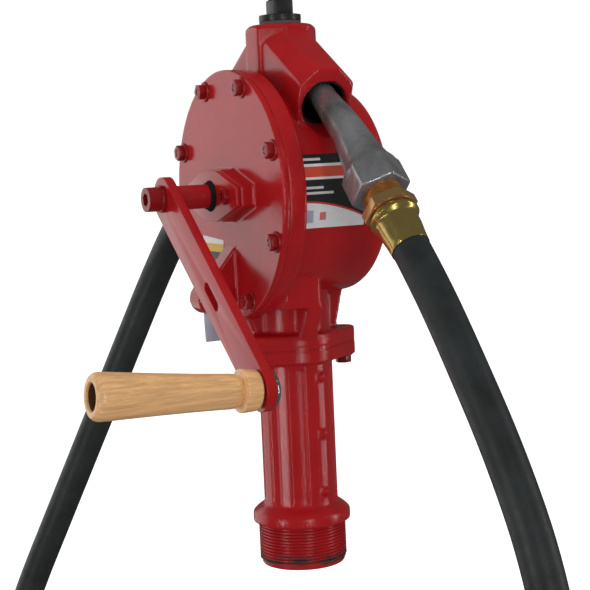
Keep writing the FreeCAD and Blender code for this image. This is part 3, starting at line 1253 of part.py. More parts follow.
def make_hose():
    points = hose_route()
    radius = d["hose_radius"].value
    edges, radii = [], []
    here = points[0]
    for before, corner, after in zip(points, points[1:], points[2:]):
        a, b = before - corner, after - corner
        run = min(a.Length, b.Length)
        a.normalize()
        b.normalize()
        half_turn = (math.pi - a.getAngle(b)) / 2
        reach = 0.45 * run
        radii.append(reach / math.tan(half_turn))
        start, finish = corner + a * reach, corner + b * reach
        bisector = a + b
        bisector.normalize()
        bulge = corner + bisector * (radii[-1] / math.cos(half_turn) - radii[-1])
        edges.append(Part.LineSegment(here, start).toShape())
        edges.append(Part.Arc(start, bulge, finish).toShape())
        here = finish
    edges.append(Part.LineSegment(here, points[-1]).toShape())
    path = Part.Wire(edges)
    along = points[1] - points[0]
    disc = Part.Wire([Part.Circle(points[0], along, radius).toShape()])
    solid = path.makePipeShell([disc], True, False)
    if solid.ShapeType != "Solid":
        solid = Part.Solid(solid)
    hose = doc.addObject("Part::Feature", "hose_made")
    hose.Shape = solid
    hose.Placement = Placement()
    keep("hose", hose)
    volume = math.pi * radius ** 2 * path.Length
    print("hose length %.1f, smallest bend radius %.1f (%.1f diameters)"
          % (path.Length, min(radii), min(radii) / (2 * radius)))
    print("bend radii: " + ", ".join("%.0f" % r for r in radii))
    print("hose volume %.0f against section times length %.0f" % (solid.Volume, volume))
    if abs(solid.Volume / volume - 1) > 0.01:
        raise RuntimeError("hose volume")


# Labels ----------------------------------------------------------------------------------
def make_labels():
    r, t = d["drum_radius"], d["label_thickness"]
    width = d["side_label_front"] + d["side_label_back"]
    outer = cyl("side_label_outer", r + t, width, (0, -d["side_label_front"], shaft_z), TO_BACK)
    inner = cyl("side_label_inner", r, width + 2,
                (0, -d["side_label_front"] - 1, shaft_z), TO_BACK)
    window = box("side_label_window", r, width + 2, d["side_label_low"] + d["side_label_high"],
                 (r * 0.5, -d["side_label_front"] - 1, shaft_z - d["side_label_low"]))
    shell = cut("side_label_shell", outer, inner)
    label = doc.addObject("Part::MultiCommon", "side_label_made")
    label.Shapes = [shell, window]
    keep("side_label", label)

    plate = box("cover_label_made", d["cover_label_width"], d["cover_label_height"], t)
    turn = TO_FRONT * Rotation(Vector(0, 0, 1), -d["cover_label_tilt"].value)
    low = turn.multVec(Vector(-d["cover_label_width"].value / 2,
                              -d["cover_label_height"].value / 2, 0))
    put(plate, (d["cover_label_x"] + low.x, -d["cover_front"] + low.y,
                shaft_z - d["cover_label_drop"] + low.z), turn)
    keep("caution_label", plate)


make_bung_adapter()
make_inlet_valve()
make_flange_bolts()
make_housing()
make_cover()
make_gland()
make_plug()
make_rotor()
make_crank()
make_grip()
make_fittings()
make_hose()
make_labels()
doc.recompute()

faults = []
for item in doc.Objects:
    if "Invalid" in item.State or "Error" in item.State:
        faults.append("%s: %s" % (item.Name, ", ".join(item.State)))
for node, item in PIECES:
    shape = item.Shape
    if shape.isNull() or not shape.isValid() or not shape.Solids:
        faults.append("%s: no valid solid" % node)
    elif len(shape.Solids) != 1:
        faults.append("%s: %d solids" % (node, len(shape.Solids)))
if faults:
    raise RuntimeError("; ".join(faults))

os.makedirs("parts", exist_ok=True)
for node, item in PIECES:
    item.Shape.exportStep("parts/%s.step" % node)
print("%d sub-parts" % len(PIECES))
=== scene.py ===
"""A rotary hand transfer pump on its drum bung adapter.

Its hose runs from the outlet arm round to the spout, which is parked in the holster arm. Each operator
dresses one piece, or one group of like pieces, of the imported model. Sections are drawn in millimetres
and put in place in metres.
"""

import math

import bmesh
import bpy
from bpy.props import FloatProperty, FloatVectorProperty, IntProperty, PointerProperty
from mathutils import Matrix, Vector


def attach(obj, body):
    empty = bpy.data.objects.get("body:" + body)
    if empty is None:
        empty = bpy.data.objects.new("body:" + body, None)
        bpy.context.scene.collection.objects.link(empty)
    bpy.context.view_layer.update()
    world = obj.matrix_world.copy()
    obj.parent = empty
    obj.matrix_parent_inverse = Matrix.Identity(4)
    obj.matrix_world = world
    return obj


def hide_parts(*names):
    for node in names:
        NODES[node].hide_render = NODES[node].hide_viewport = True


bl_info = {
    "name": "Rotary hand pump",
    "version": (1, 0, 0),
    "blender": (4, 5, 0),
    "location": "View3D > Sidebar > Hand pump",
    "description": "Dresses the packed rotary hand transfer pump",
    "category": "Object",
}

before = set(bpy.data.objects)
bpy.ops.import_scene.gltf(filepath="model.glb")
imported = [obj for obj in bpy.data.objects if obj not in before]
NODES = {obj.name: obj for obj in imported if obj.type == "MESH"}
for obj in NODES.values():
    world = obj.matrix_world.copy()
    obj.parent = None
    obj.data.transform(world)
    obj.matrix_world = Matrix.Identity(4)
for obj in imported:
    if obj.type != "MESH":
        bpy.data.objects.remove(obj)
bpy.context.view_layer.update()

MM = 0.001
UP = (0, 0, 1)
DOWN = (0, 0, -1)
OUTWARD = (0, -1, 0)
SIDEWAYS = (1, 0, 0)
LEVEL = (0, 1, 0)


def sloping(degrees, side=1):
    """The direction that falls away from level by an angle, to the right or, with side -1, to the left."""
    return (side * math.cos(math.radians(degrees)), 0, -math.sin(math.radians(degrees)))


# Places on the pump, in millimetres, and directions.
SHAFT_HEIGHT = 227.0
SHAFT_RADIUS = 8.0
COVER_FRONT = -45.0
COVER_BOLT_CIRCLE = 75.3
CHAMBER_MIDDLE = (5, 0, SHAFT_HEIGHT)
CRANK_FRONT = -92.5
CRANK_LENGTH = 171.3
CRANK_THICKNESS = 6.25
CRANK_DIRECTION = sloping(39.8)
GRIP_LEAN = math.radians(4.5)
GRIP_AXIS = (0, -math.cos(GRIP_LEAN), math.sin(GRIP_LEAN))
GRIP_PIVOT = (131.61, CRANK_FRONT, 117.34)
ARM_SLOPE = 32
OUTLET_FACE = (-58, 0, 282.2)
OUTLET_FITTINGS = 56
OUTLET_AXIS = sloping(ARM_SLOPE, -1)
HOLSTER_FACE = (58, 0, 282.2)
HOLSTER_INWARD = (OUTLET_AXIS[0], 0, -OUTLET_AXIS[2])
SPOUT_FOOT = (156.5, 0, 194.6)
SPOUT_UP = (-0.6984, 0, 0.7157)
SPOUT_BEND = (88.9, 0, 263.9)
SPOUT_PIPE_SLOPE = 36.5
FLANGE_UNDERSIDE = 111.5
FLANGE_BOLT_REACH = 38.0
BUNG_THREAD_RADIUS = 30.15


# ---------------------------------------------------------------- settings


def colour_of(name, thing, default):
    """A colour that the sidebar shows."""
    return FloatVectorProperty(
        name=name, description=f"Colour of {thing}", subtype="COLOR", size=3, min=0, max=1, default=default
    )


def millimetres(name, description, default, low, high):
    """A size that the sidebar shows."""
    told = f"{description}, in millimetres"
    return FloatProperty(name=name, description=told, default=default, min=low, max=high)


def power_of(name, light, default):
    """A light's power that the sidebar shows."""
    return FloatProperty(name=name, description=f"Power of {light}", default=default, unit="POWER")


class PumpColours(bpy.types.PropertyGroup):
    """The colours of the pump's finishes."""

    enamel: colour_of("Enamel", "the paint on the castings", (0.415, 0.008, 0.011))
    maple: colour_of("Grip wood", "the turned grip", (0.94, 0.53, 0.23))
    brass: colour_of("Nipple brass", "the hose nipples", (0.98, 0.54, 0.12))
    ferrule: colour_of("Ferrule brass", "the pressed ferrules", (0.70, 0.53, 0.17))
    rubber: colour_of("Hose rubber", "the hose cover", (0.019, 0.023, 0.023))
    casting: colour_of("Spout metal", "the cast spout", (0.35, 0.35, 0.36))


class PumpSizes(bpy.types.PropertyGroup):
    """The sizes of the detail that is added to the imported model."""

    casting_grid: millimetres("Casting grid", "Size of one facet of a casting's skin", 1.2, 0.6, 4)
    casting_softening: IntProperty(
        name="Casting softening",
        description="How many times a casting's edges are eased",
        default=5,
        min=0,
        max=30,
    )
    edge: millimetres("Machined edge", "Width of the eased edge of the shaft", 0.4, 0.05, 2)
    bung_pitch: millimetres("Bung thread pitch", "Distance between turns of the bung thread", 2.209, 1, 4)
    nipple_pitch: millimetres("Nipple thread pitch", "Distance between nipple thread turns", 1.34, 0.5, 3)
    thread_depth: millimetres("Bung thread depth", "Depth of the bung thread", 1.35, 0.3, 2.5)
    arm_edge: millimetres("Crank edge", "Radius of the crank arm's edges", 0.9, 0.1, 3)
    hose_diameter: FloatProperty(
        name="Hose diameter",
        description="Outside diameter of the hose",
        default=0.0235,
        min=0.01,
        max=0.05,
        unit="LENGTH",
    )


class StageSettings(bpy.types.PropertyGroup):
    """The floor, the lights and the camera."""

    floor_level: FloatProperty(
        name="Floor level", description="Height of the floor", default=-0.72, unit="LENGTH"
    )
    key_light: power_of("Side panel", "the large soft panel at the cover's side", 12.0)
    top_light: power_of("Top light", "the soft light overhead", 5.5)
    fill_light: power_of("Fill light", "the soft light by the camera", 1.6)
    strip_light: power_of("Strip lights", "each narrow upright strip", 3.4)
    lens: FloatProperty(
        name="Lens", description="Focal length of the camera in millimetres", default=91.53, min=10, max=300
    )


# ---------------------------------------------------------------- shaping


def seated(bm, origin=(0, 0, 0), z_dir=UP, x_dir=SIDEWAYS):
    """Puts a shape drawn in millimetres at origin, with its Z along z_dir and its X towards x_dir."""
    z = Vector(z_dir).normalized()
    x = Vector(x_dir)
    x = (x - z * x.dot(z)).normalized()
    turn = Matrix((x, z.cross(x), z)).transposed().to_4x4()
    where = Matrix.Translation(Vector(origin) * MM) @ turn @ Matrix.Diagonal((MM, MM, MM, 1))
    bmesh.ops.transform(bm, matrix=where, verts=bm.verts)
    return bm


def on_shaft(bm, front=0.0, x_dir=SIDEWAYS):
    """Puts a shape on the shaft's axis, its Z out of the cover from the given depth."""
    return seated(bm, (0, front, SHAFT_HEIGHT), OUTWARD, x_dir)


def spun(bm, degrees):
    """Turns a shape about Z."""
    turn = Matrix.Rotation(math.radians(degrees), 3, "Z")
    bmesh.ops.rotate(bm, cent=(0, 0, 0), matrix=turn, verts=bm.verts)
    return bm


def bar_of(sides, radius, low, high):
    """A plain round or many-sided bar along Z."""
    bm = bmesh.new()
    middle = Matrix.Translation((0, 0, (low + high) / 2))
    bmesh.ops.create_cone(
        bm, cap_ends=True, segments=sides, radius1=radius, radius2=radius, depth=high - low, matrix=middle
    )
    return bm


def together(*shapes):
    """All the shapes in one."""
    joined = bmesh.new()
    for shape in shapes:
        mesh = bpy.data.meshes.new("part")
        shape.to_mesh(mesh)
        shape.free()
        joined.from_mesh(mesh)
        bpy.data.meshes.remove(mesh)
    return joined


def softened(bm, width, segments=3, angle=28):
    """Eases every edge that turns by more than the angle."""
    edges = [e for e in bm.edges if len(e.link_faces) == 2 and e.calc_face_angle(0) > math.radians(angle)]
    bmesh.ops.bevel(
        bm,
        geom=edges,
        offset=width,
        offset_type="OFFSET",
        segments=segments,
        profile=0.5,
        affect="EDGES",
        material=-1,
        clamp_overlap=True,
    )
    return bm


def turned(section, edge=0.4, steps=96, segments=3):
    """A solid of revolution about Z from the corners (radius, height) of its section.

    A section that starts and ends off the axis is closed into a ring.
    """
    bm = bmesh.new()
    verts = [bm.verts.new((r, 0, z)) for r, z in section]
    edges = [bm.edges.new(pair) for pair in zip(verts, verts[1:])]
    if section[0][0] > 0 and section[-1][0] > 0:
        edges.append(bm.edges.new((verts[-1], verts[0])))
    bmesh.ops.spin(
        bm,
        geom=verts + edges,
        cent=(0, 0, 0),
        axis=UP,
        dvec=(0, 0, 0),
        angle=2 * math.pi,
        steps=steps,
        use_merge=True,
    )
    bmesh.ops.remove_doubles(bm, verts=bm.verts, dist=1e-4)
    bmesh.ops.recalc_face_normals(bm, faces=bm.faces)
    return softened(bm, edge, segments) if edge else bm


def prism(corners, low, high, edge=0.0):
    """A plate with the given corners, from low to high along Z."""
    bm = bmesh.new()
    face = bm.faces.new([bm.verts.new((x, y, low)) for x, y in corners])
    top = bmesh.ops.extrude_face_region(bm, geom=[face])["geom"]
    raised = [v for v in top if isinstance(v, bmesh.types.BMVert)]
    bmesh.ops.translate(bm, vec=(0, 0, high - low), verts=raised)
    bmesh.ops.recalc_face_normals(bm, faces=bm.faces)
    return softened(bm, edge) if edge else bm


def hulled(discs, low, high, steps=64):
    """A plate round discs (x, y, radius), with straight sides between them."""
    bm = bmesh.new()
    for x, y, radius in discs:
        middle = Matrix.Translation((x, y, (low + high) / 2))
        bmesh.ops.create_cone(
            bm,
            cap_ends=True,
            segments=steps,
            radius1=radius,
            radius2=radius,
            depth=high - low,
            matrix=middle,
        )
    found = bmesh.ops.convex_hull(bm, input=bm.verts)
    inner = [v for v in found["geom_interior"] if isinstance(v, bmesh.types.BMVert)]
    bmesh.ops.delete(bm, geom=inner, context="VERTS")
    keep = set(f for f in found["geom"] if isinstance(f, bmesh.types.BMFace) and f.is_valid)
    bmesh.ops.delete(bm, geom=[f for f in bm.faces if f not in keep], context="FACES_ONLY")
    bmesh.ops.dissolve_limit(bm, angle_limit=0.01, verts=bm.verts, edges=bm.edges)
    bmesh.ops.recalc_face_normals(bm, faces=bm.faces)
    return bm


def hexagon(radius, low, high, edge, dimple=0.0):
    """A hexagon bar's end, with an optional dimple in its top."""
    bm = softened(bar_of(6, radius, low, high), edge, 2)
    if dimple:
        top = max(bm.faces, key=lambda f: (round(f.calc_center_median().z, 3), f.calc_area()))
        bmesh.ops.inset_individual(bm, faces=[top], thickness=radius * 0.42)
        bmesh.ops.inset_individual(bm, faces=[top], thickness=radius * 0.12, depth=-dimple)
    return bm


def coil(crest, root, pitch, low, high, steps):
    """A thread's ridge, wound from low to high and faded out at both ends."""
    bm = bmesh.new()
    foot = root - 0.4
    section = [(foot, 0), (crest, pitch * 0.37), (crest, pitch * 0.51), (foot, pitch * 0.88)]
    verts = [bm.verts.new((r, 0, low + z)) for r, z in section]
    edges = [bm.edges.new((verts[i], verts[(i + 1) % 4])) for i in range(4)]
    count = int(((high - low) / pitch - 0.9) * steps)
    bmesh.ops.spin(
        bm,
        geom=verts + edges,
        cent=(0, 0, 0),
        axis=UP,
        dvec=(0, 0, pitch / steps),
        angle=2 * math.pi * count / steps,
        steps=count,
        use_merge=False,
    )
    for v in bm.verts:
        radius = math.hypot(v.co.x, v.co.y)
        fade = max(0.0, min(1.0, (v.co.z - low) / pitch, (high - v.co.z) / pitch))
        wanted = foot + (radius - foot) * fade
        v.co.x *= wanted / radius
        v.co.y *= wanted / radius
    bmesh.ops.holes_fill(bm, edges=[e for e in bm.edges if e.is_boundary], sides=0)
    bmesh.ops.recalc_face_normals(bm, faces=bm.faces)
    return bm


def held(bm, name):
    """An object in the scene that holds the shape."""
    mesh = bpy.data.meshes.new(name)
    bm.to_mesh(mesh)
    bm.free()
    obj = bpy.data.objects.new(name, mesh)
    bpy.context.scene.collection.objects.link(obj)
    return obj


def worked(obj, *tools):
    """The object's shape after its modifiers; the object and its tools are removed."""
    bpy.context.view_layer.update()
    result = bmesh.new()
    result.from_mesh(obj.evaluated_get(bpy.context.evaluated_depsgraph_get()).to_mesh())
    for used in (obj, *tools):
        data = used.data
        bpy.data.objects.remove(used)
        bpy.data.meshes.remove(data)
    return result


def less(bm, cutter):
    """The shape with another taken out of it."""
    obj, tool = held(bm, "shape"), held(cutter, "cutter")
    cut = obj.modifiers.new("cut", "BOOLEAN")
    cut.operation = "DIFFERENCE"
    cut.solver = "EXACT"
    cut.object = tool
    return worked(obj, tool)


def cast(bm, grid, passes):
    """The skin of a casting: one even surface over all its lumps, with every edge and corner eased.

    The shape is already in metres, and the grid is in millimetres.
    """
    obj = held(bm, "shape")
    remesh = obj.modifiers.new("remesh", "REMESH")
    remesh.mode = "VOXEL"
    remesh.voxel_size = grid * MM
    skin = worked(obj)
    every_way = {"use_axis_x": True, "use_axis_y": True, "use_axis_z": True}
    for _ in range(passes):
        bmesh.ops.smooth_vert(skin, verts=skin.verts, factor=0.5, **every_way)
    return skin


def packed(node):
    """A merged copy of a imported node's shape."""
    bm = bmesh.new()
    bm.from_mesh(NODES[node].data)
    bmesh.ops.remove_doubles(bm, verts=bm.verts, dist=1e-6)
    return bm


def piece(name, bm, material, body, stands_for=(), sharp=32):
    """Makes the shape a finished piece that rides on a body."""
    if not bm.faces:
        raise RuntimeError(f"{name} has no faces")
    obj = held(bm, name)
    mesh = obj.data
    mesh.materials.append(material)
    mesh.polygons.foreach_set("use_smooth", [True] * len(mesh.polygons))
    mesh.set_sharp_from_angle(angle=math.radians(sharp))
    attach(obj, body)
    if stands_for:
        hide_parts(*stands_for)
    return obj


# ---------------------------------------------------------------- finishes


def blank(name):
    """A new material with its tree and its shader."""
    material = bpy.data.materials.new(name)
    material.use_nodes = True
    tree = material.node_tree
    return material, tree, tree.nodes["Principled BSDF"]


def put(tree, kind, values=None, **settings):
    """Adds a node. A value that is a socket is linked, and any other is set."""
    made = tree.nodes.new(kind)
    for key, value in settings.items():
        setattr(made, key, value)
    for key, value in (values or {}).items():
        if isinstance(value, bpy.types.NodeSocket):
            tree.links.new(value, made.inputs[key])
        else:
            made.inputs[key].default_value = value
    return made


def own_place(tree):
    """The place on the object, in its own coordinates."""
    return put(tree, "ShaderNodeTexCoord").outputs["Object"]


def stretched(tree, where, scale, rotation=(0, 0, 0)):
    """A place with its axes scaled and turned."""
    values = {"Vector": where, "Scale": scale, "Rotation": rotation}
    return put(tree, "ShaderNodeMapping", values).outputs["Vector"]


def spots(tree, scale, detail=3, rough=0.55, where=None, distort=0.0):
    """Noise over the object's own coordinates."""
    values = {"Vector": where or own_place(tree), "Scale": scale, "Detail": detail, "Roughness": rough}
    return put(tree, "ShaderNodeTexNoise", {**values, "Distortion": distort}).outputs["Fac"]


def spread(tree, source, low, high, from_low=0.3, from_high=0.7):
    """Maps a value's range, the middle of noise if none is given, onto low to high."""
    values = {"Value": source, "From Min": from_low, "From Max": from_high, "To Min": low, "To Max": high}
    return put(tree, "ShaderNodeMapRange", values).outputs["Result"]


def maths(tree, operation, *values, clamped=False):
    """One sum or test."""
    numbered = dict(enumerate(values))
    return put(tree, "ShaderNodeMath", numbered, operation=operation, use_clamp=clamped).outputs[0]


def tinted(tree, source, dark, light, blend="MIX"):
    """A colour between two, by a value from 0 to 1, or one laid over the other by another blend."""
    mix = put(tree, "ShaderNodeMix", data_type="RGBA", blend_type=blend)
    for key, value in ((0, source), (6, dark), (7, light)):
        if isinstance(value, bpy.types.NodeSocket):
            tree.links.new(value, mix.inputs[key])
        elif isinstance(value, float):
            mix.inputs[key].default_value = value
        else:
            mix.inputs[key].default_value = (*value, 1)
    return mix.outputs[2]


def bumped(tree, shader, height, strength, depth, under=None):
    """Raises the surface by a height, over another bump if one is given."""
    values = {"Height": height, "Strength": strength, "Distance": depth}
    if under:
        values["Normal"] = under
    made = put(tree, "ShaderNodeBump", values)
    tree.links.new(made.outputs["Normal"], shader.inputs["Normal"])
    return made.outputs["Normal"]


def shade(colour, amount):
    """A colour made lighter or darker."""
    return tuple(min(1.0, c * amount) for c in colour)


def mottled(tree, colour, scale, low, high, detail=3, where=None):
    """The colour, changing from spot to spot between two shades of it."""
    noise = spread(tree, spots(tree, scale, detail, where=where), 0, 1)
    return tinted(tree, noise, shade(colour, low), shade(colour, high))


def enamel(name, colour, grain, rough, coat=0.2):
    """Glossy enamel over metal: slow colour change, orange peel, and the metal's grain under it."""
    material, tree, shader = blank(name)
    tree.links.new(mottled(tree, colour, 34, 0.86, 1.08), shader.inputs["Base Color"])
    tree.links.new(spread(tree, spots(tree, 120), *rough), shader.inputs["Roughness"])
    shader.inputs["Coat Weight"].default_value = coat
    shader.inputs["Coat Roughness"].default_value = 0.12
    peel = bumped(tree, shader, spots(tree, 320, 2), 0.11, 0.0008)
    bumped(tree, shader, spots(tree, 720, 3, 0.6), grain, 0.0005, peel)
    return material


def worn_enamel(name, colour, bare, painted):
    """Enamel that is rubbed off a thread: bare below one height and whole above another.

    The last turn at the bottom is still painted.
    """
    material, tree, shader = blank(name)
    steel, last_turn = (0.10, 0.09, 0.09), (-0.0276, -0.0270)
    where = own_place(tree)
    height = put(tree, "ShaderNodeSeparateXYZ", {"Vector": where}).outputs["Z"]
    rub = spread(tree, height, 1.0, 0.0, bare, painted)
    above_last = spread(tree, height, 0.0, 1.0, *last_turn)
    smear = stretched(tree, where, (1, 1, 6))
    patchy = spread(tree, spots(tree, 70, 5, 0.7, smear), 0.0, 1.2, 0.42, 0.60)
    wear = maths(tree, "MULTIPLY", rub, patchy, clamped=True)
    wear = maths(tree, "MULTIPLY", wear, above_last, clamped=True)
    paint = mottled(tree, colour, 60, 0.88, 1.15, where=where)
    tree.links.new(tinted(tree, wear, paint, steel), shader.inputs["Base Color"])
    tree.links.new(spread(tree, wear, 0.0, 0.75, 0, 1), shader.inputs["Metallic"])
    tree.links.new(spread(tree, wear, 0.26, 0.46, 0, 1), shader.inputs["Roughness"])
    bumped(tree, shader, spots(tree, 700, 4, 0.7, where), 0.25, 0.0003)
    return material


def metal(name, colour, rough, scale, stretch=None, grain=0.15, metallic=1.0, patch=0.12):
    """Bare metal with a slight change of shade and a fine grain, drawn out where stretch says."""
    material, tree, shader = blank(name)
    where = own_place(tree)
    if stretch:
        where = stretched(tree, where, *stretch)
    tint = mottled(tree, colour, scale * 0.3, 1 - patch, 1 + patch, 4, where)
    tree.links.new(tint, shader.inputs["Base Color"])
    tree.links.new(spread(tree, spots(tree, scale, 3, where=where), *rough), shader.inputs["Roughness"])
    shader.inputs["Metallic"].default_value = metallic
    bumped(tree, shader, spots(tree, scale * 2.5, 3, 0.6, where), grain, 0.0003)
    return material


def matt(name, colour, rough, scale, grain, depth, patch=0.2):
    """Rubber, plastic or fibre: no metal, with a fine grain."""
    material, tree, shader = blank(name)
    tree.links.new(mottled(tree, colour, scale * 0.2, 1 - patch, 1 + patch, 4), shader.inputs["Base Color"])
    tree.links.new(spread(tree, spots(tree, scale * 0.6), *rough), shader.inputs["Roughness"])
    bumped(tree, shader, spots(tree, scale * 2, 4, 0.7), grain, depth)
    return material


def maple(name, colour):
    """Turned light wood: fine fibres and soft bands along the grip, under a thin varnish."""
    material, tree, shader = blank(name)
    lay = stretched(tree, own_place(tree), (1, 0.05, 1), (GRIP_LEAN, 0, 0))
    bands = spots(tree, 420, 4, 0.55, lay, 0.4)
    fibre = spots(tree, 1500, 3, 0.7, lay)
    base = tinted(tree, spread(tree, bands, 0, 1, 0.35, 0.68), shade(colour, 1.06), shade(colour, 0.76))
    threads = tinted(tree, spread(tree, fibre, 0, 1, 0.4, 0.62), (0.74, 0.70, 0.64), (1, 1, 1))
    tree.links.new(tinted(tree, 0.5, base, threads, "MULTIPLY"), shader.inputs["Base Color"])
    tree.links.new(spread(tree, fibre, 0.34, 0.48), shader.inputs["Roughness"])
    shader.inputs["Coat Weight"].default_value = 0.5
    shader.inputs["Coat Roughness"].default_value = 0.14
    bumped(tree, shader, fibre, 0.25, 0.0003)
    return material


INK = (0.012, 0.012, 0.014)
LIGHT_PRINT = (0.78, 0.78, 0.78)
GREY_PRINT = (0.6, 0.6, 0.6)
# Each band is (lowest height, colour); the last one only marks the label's top.
SIDE_BANDS = (
    (0.2045, (0.74, 0.74, 0.75)),
    (0.2212, (0.55, 0.03, 0.02)),
    (0.2226, INK),
    (0.2358, LIGHT_PRINT),
    (0.2380, LIGHT_PRINT),
    (0.2459, INK),
    (0.2530, INK),
)
# Each block is (bottom, top, near edge, far edge, colour).
SIDE_BLOCKS = (
    (0.2375, 0.2442, -0.0235, 0.012, (0.66, 0.07, 0.03)),
    (0.2300, 0.2316, -0.024, -0.010, GREY_PRINT),
    (0.2266, 0.2282, -0.024, -0.003, GREY_PRINT),
    (0.2480, 0.2496, -0.0245, -0.010, GREY_PRINT),
    (0.2085, 0.2165, -0.0235, -0.0175, (0.38, 0.40, 0.50)),
    (0.2100, 0.2150, -0.0130, -0.0085, (0.62, 0.16, 0.14)),
)
CAUTION_BANDS = (
    (0.1790, (0.03, 0.03, 0.03)),
    (0.1880, (0.72, 0.45, 0.03)),
    (0.1935, (0.80, 0.80, 0.78)),
    (0.1990, (0.80, 0.80, 0.78)),
)


def banded(name, bands, curve=0.0, blocks=()):
    """Printed bands across a label, with plain blocks over them. The low bands fall away by the curve."""
    material, tree, shader = blank(name)
    split = put(tree, "ShaderNodeSeparateXYZ", {"Vector": own_place(tree)})
    place = split.outputs["Z"]
    if curve:
        near_edge, straight_above, curved_below = 0.027, 0.234, 0.222
        along = maths(tree, "ADD", split.outputs["Y"], near_edge)
        bow = maths(tree, "MULTIPLY", along, along)
        share = spread(tree, place, curve, 0.0, curved_below, straight_above)
        place = maths(tree, "MULTIPLY_ADD", bow, share, place)
    low, high = bands[0][0], bands[-1][0]
    ramp = put(tree, "ShaderNodeValToRGB", {"Fac": spread(tree, place, 0, 1, low, high)})
    ramp.color_ramp.interpolation = "CONSTANT"
    while len(ramp.color_ramp.elements) < len(bands):
        ramp.color_ramp.elements.new(0.5)
    for element, (at, colour) in zip(ramp.color_ramp.elements, bands):
        element.position = (at - low) / (high - low)
        element.color = (*colour, 1)
    ink = ramp.outputs["Color"]
    for bottom, top, near, far, colour in blocks:
        inside = maths(tree, "GREATER_THAN", split.outputs["Z"], bottom)
        others = (("Z", "LESS_THAN", top), ("Y", "GREATER_THAN", near), ("Y", "LESS_THAN", far))
        for axis, test, limit in others:
            inside = maths(tree, "MULTIPLY", inside, maths(tree, test, split.outputs[axis], limit))
        ink = tinted(tree, inside, ink, colour)
    dust = tinted(tree, spread(tree, spots(tree, 240, 5), 0, 1), (0.75, 0.74, 0.73), (1, 1, 1))
    tree.links.new(tinted(tree, 0.35, ink, dust, "MULTIPLY"), shader.inputs["Base Color"])
    tree.links.new(spread(tree, spots(tree, 300), 0.32, 0.5), shader.inputs["Roughness"])
    bumped(tree, shader, spots(tree, 500, 3), 0.1, 0.0002)
    return material


# How a metal's grain is stretched and turned.
SPOUT_LAY = ((1, 1, 0.3), (0, math.radians(44), 0))
GROUND_LAY = ((1, 0.2, 1), (0, 0, 0))
# The bung thread is bare below the first height and painted above the second.
THREAD_WEAR = (-0.0235, -0.0185)


def finish_of(name):
    """The named finish, made the first time that it is asked for."""
    found = bpy.data.materials.get(name)
    if found:
        return found
    colours = bpy.context.scene.pump_colours
    red = tuple(colours.enamel)
    makers = {
        "casting_enamel": lambda: enamel(name, red, grain=0.40, rough=(0.12, 0.20)),
        "smooth_enamel": lambda: enamel(name, red, grain=0.10, rough=(0.14, 0.22)),
        "bolt_enamel": lambda: enamel(name, shade(red, 0.62), grain=0.12, rough=(0.20, 0.30), coat=0.1),
        "thread_enamel": lambda: worn_enamel(name, red, *THREAD_WEAR),
        "grip_maple": lambda: maple(name, tuple(colours.maple)),
        # Painted shade: a dark brown finish that darkens the grip's end bore as if it were in shadow.
        "bore_shade_brown": lambda: matt(name, (0.10, 0.035, 0.010), (0.6, 0.8), 260, 0.4, 0.0004),
        # Painted shade: a near-black finish laid where there is only shadow, in the holster bore, round the
        # shaft at the gland and on the shaft spacer.
        "painted_shade_black": lambda: matt(name, (0.008, 0.006, 0.006), (0.6, 0.8), 200, 0.4, 0.0004),
        "nipple_brass": lambda: metal(
            name, tuple(colours.brass), (0.22, 0.38), 420, grain=0.12, metallic=0.6
        ),
        "ferrule_brass": lambda: metal(
            name, tuple(colours.ferrule), (0.18, 0.28), 200, grain=0.02, patch=0.06, metallic=0.92
        ),
        "spout_casting": lambda: metal(
            name, tuple(colours.casting), (0.16, 0.40), 150, SPOUT_LAY, grain=0.15, patch=0.42, metallic=0.75
        ),
        "polished_steel": lambda: metal(name, (0.62, 0.62, 0.64), (0.10, 0.2), 320, grain=0.06, patch=0.06),
        "dark_steel": lambda: metal(name, (0.12, 0.12, 0.13), (0.3, 0.5), 320, grain=0.2),
        "ground_iron": lambda: metal(name, (0.34, 0.34, 0.35), (0.25, 0.4), 300, GROUND_LAY, grain=0.25),
        "oiled_bronze": lambda: metal(name, (0.50, 0.30, 0.12), (0.28, 0.42), 300, grain=0.2),
        "tab_zinc": lambda: metal(
            name, (0.56, 0.54, 0.62), (0.38, 0.58), 90, grain=0.2, metallic=0.55, patch=0.16
        ),
        "hose_rubber": lambda: matt(name, tuple(colours.rubber), (0.40, 0.55), 260, 0.35, 0.0003, 0.3),
        "plug_plastic": lambda: matt(name, (0.019, 0.019, 0.021), (0.26, 0.40), 260, 0.18, 0.0003),
        "gasket_fibre": lambda: matt(name, (0.05, 0.045, 0.04), (0.7, 0.85), 420, 0.5, 0.0004),
        "side_print": lambda: banded(name, SIDE_BANDS, 5.0, SIDE_BLOCKS),
        "caution_print": lambda: banded(name, CAUTION_BANDS),
    }
    return makers[name]()


def dress(material, *nodes):
    """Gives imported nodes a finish."""
    for name in nodes:
        mesh_object = NODES[name]
        for slot in mesh_object.material_slots:
            slot.material = finish_of(material)
        if not mesh_object.material_slots:
            raise RuntimeError(f"{name} has no material slot")


# ---------------------------------------------------------------- operators


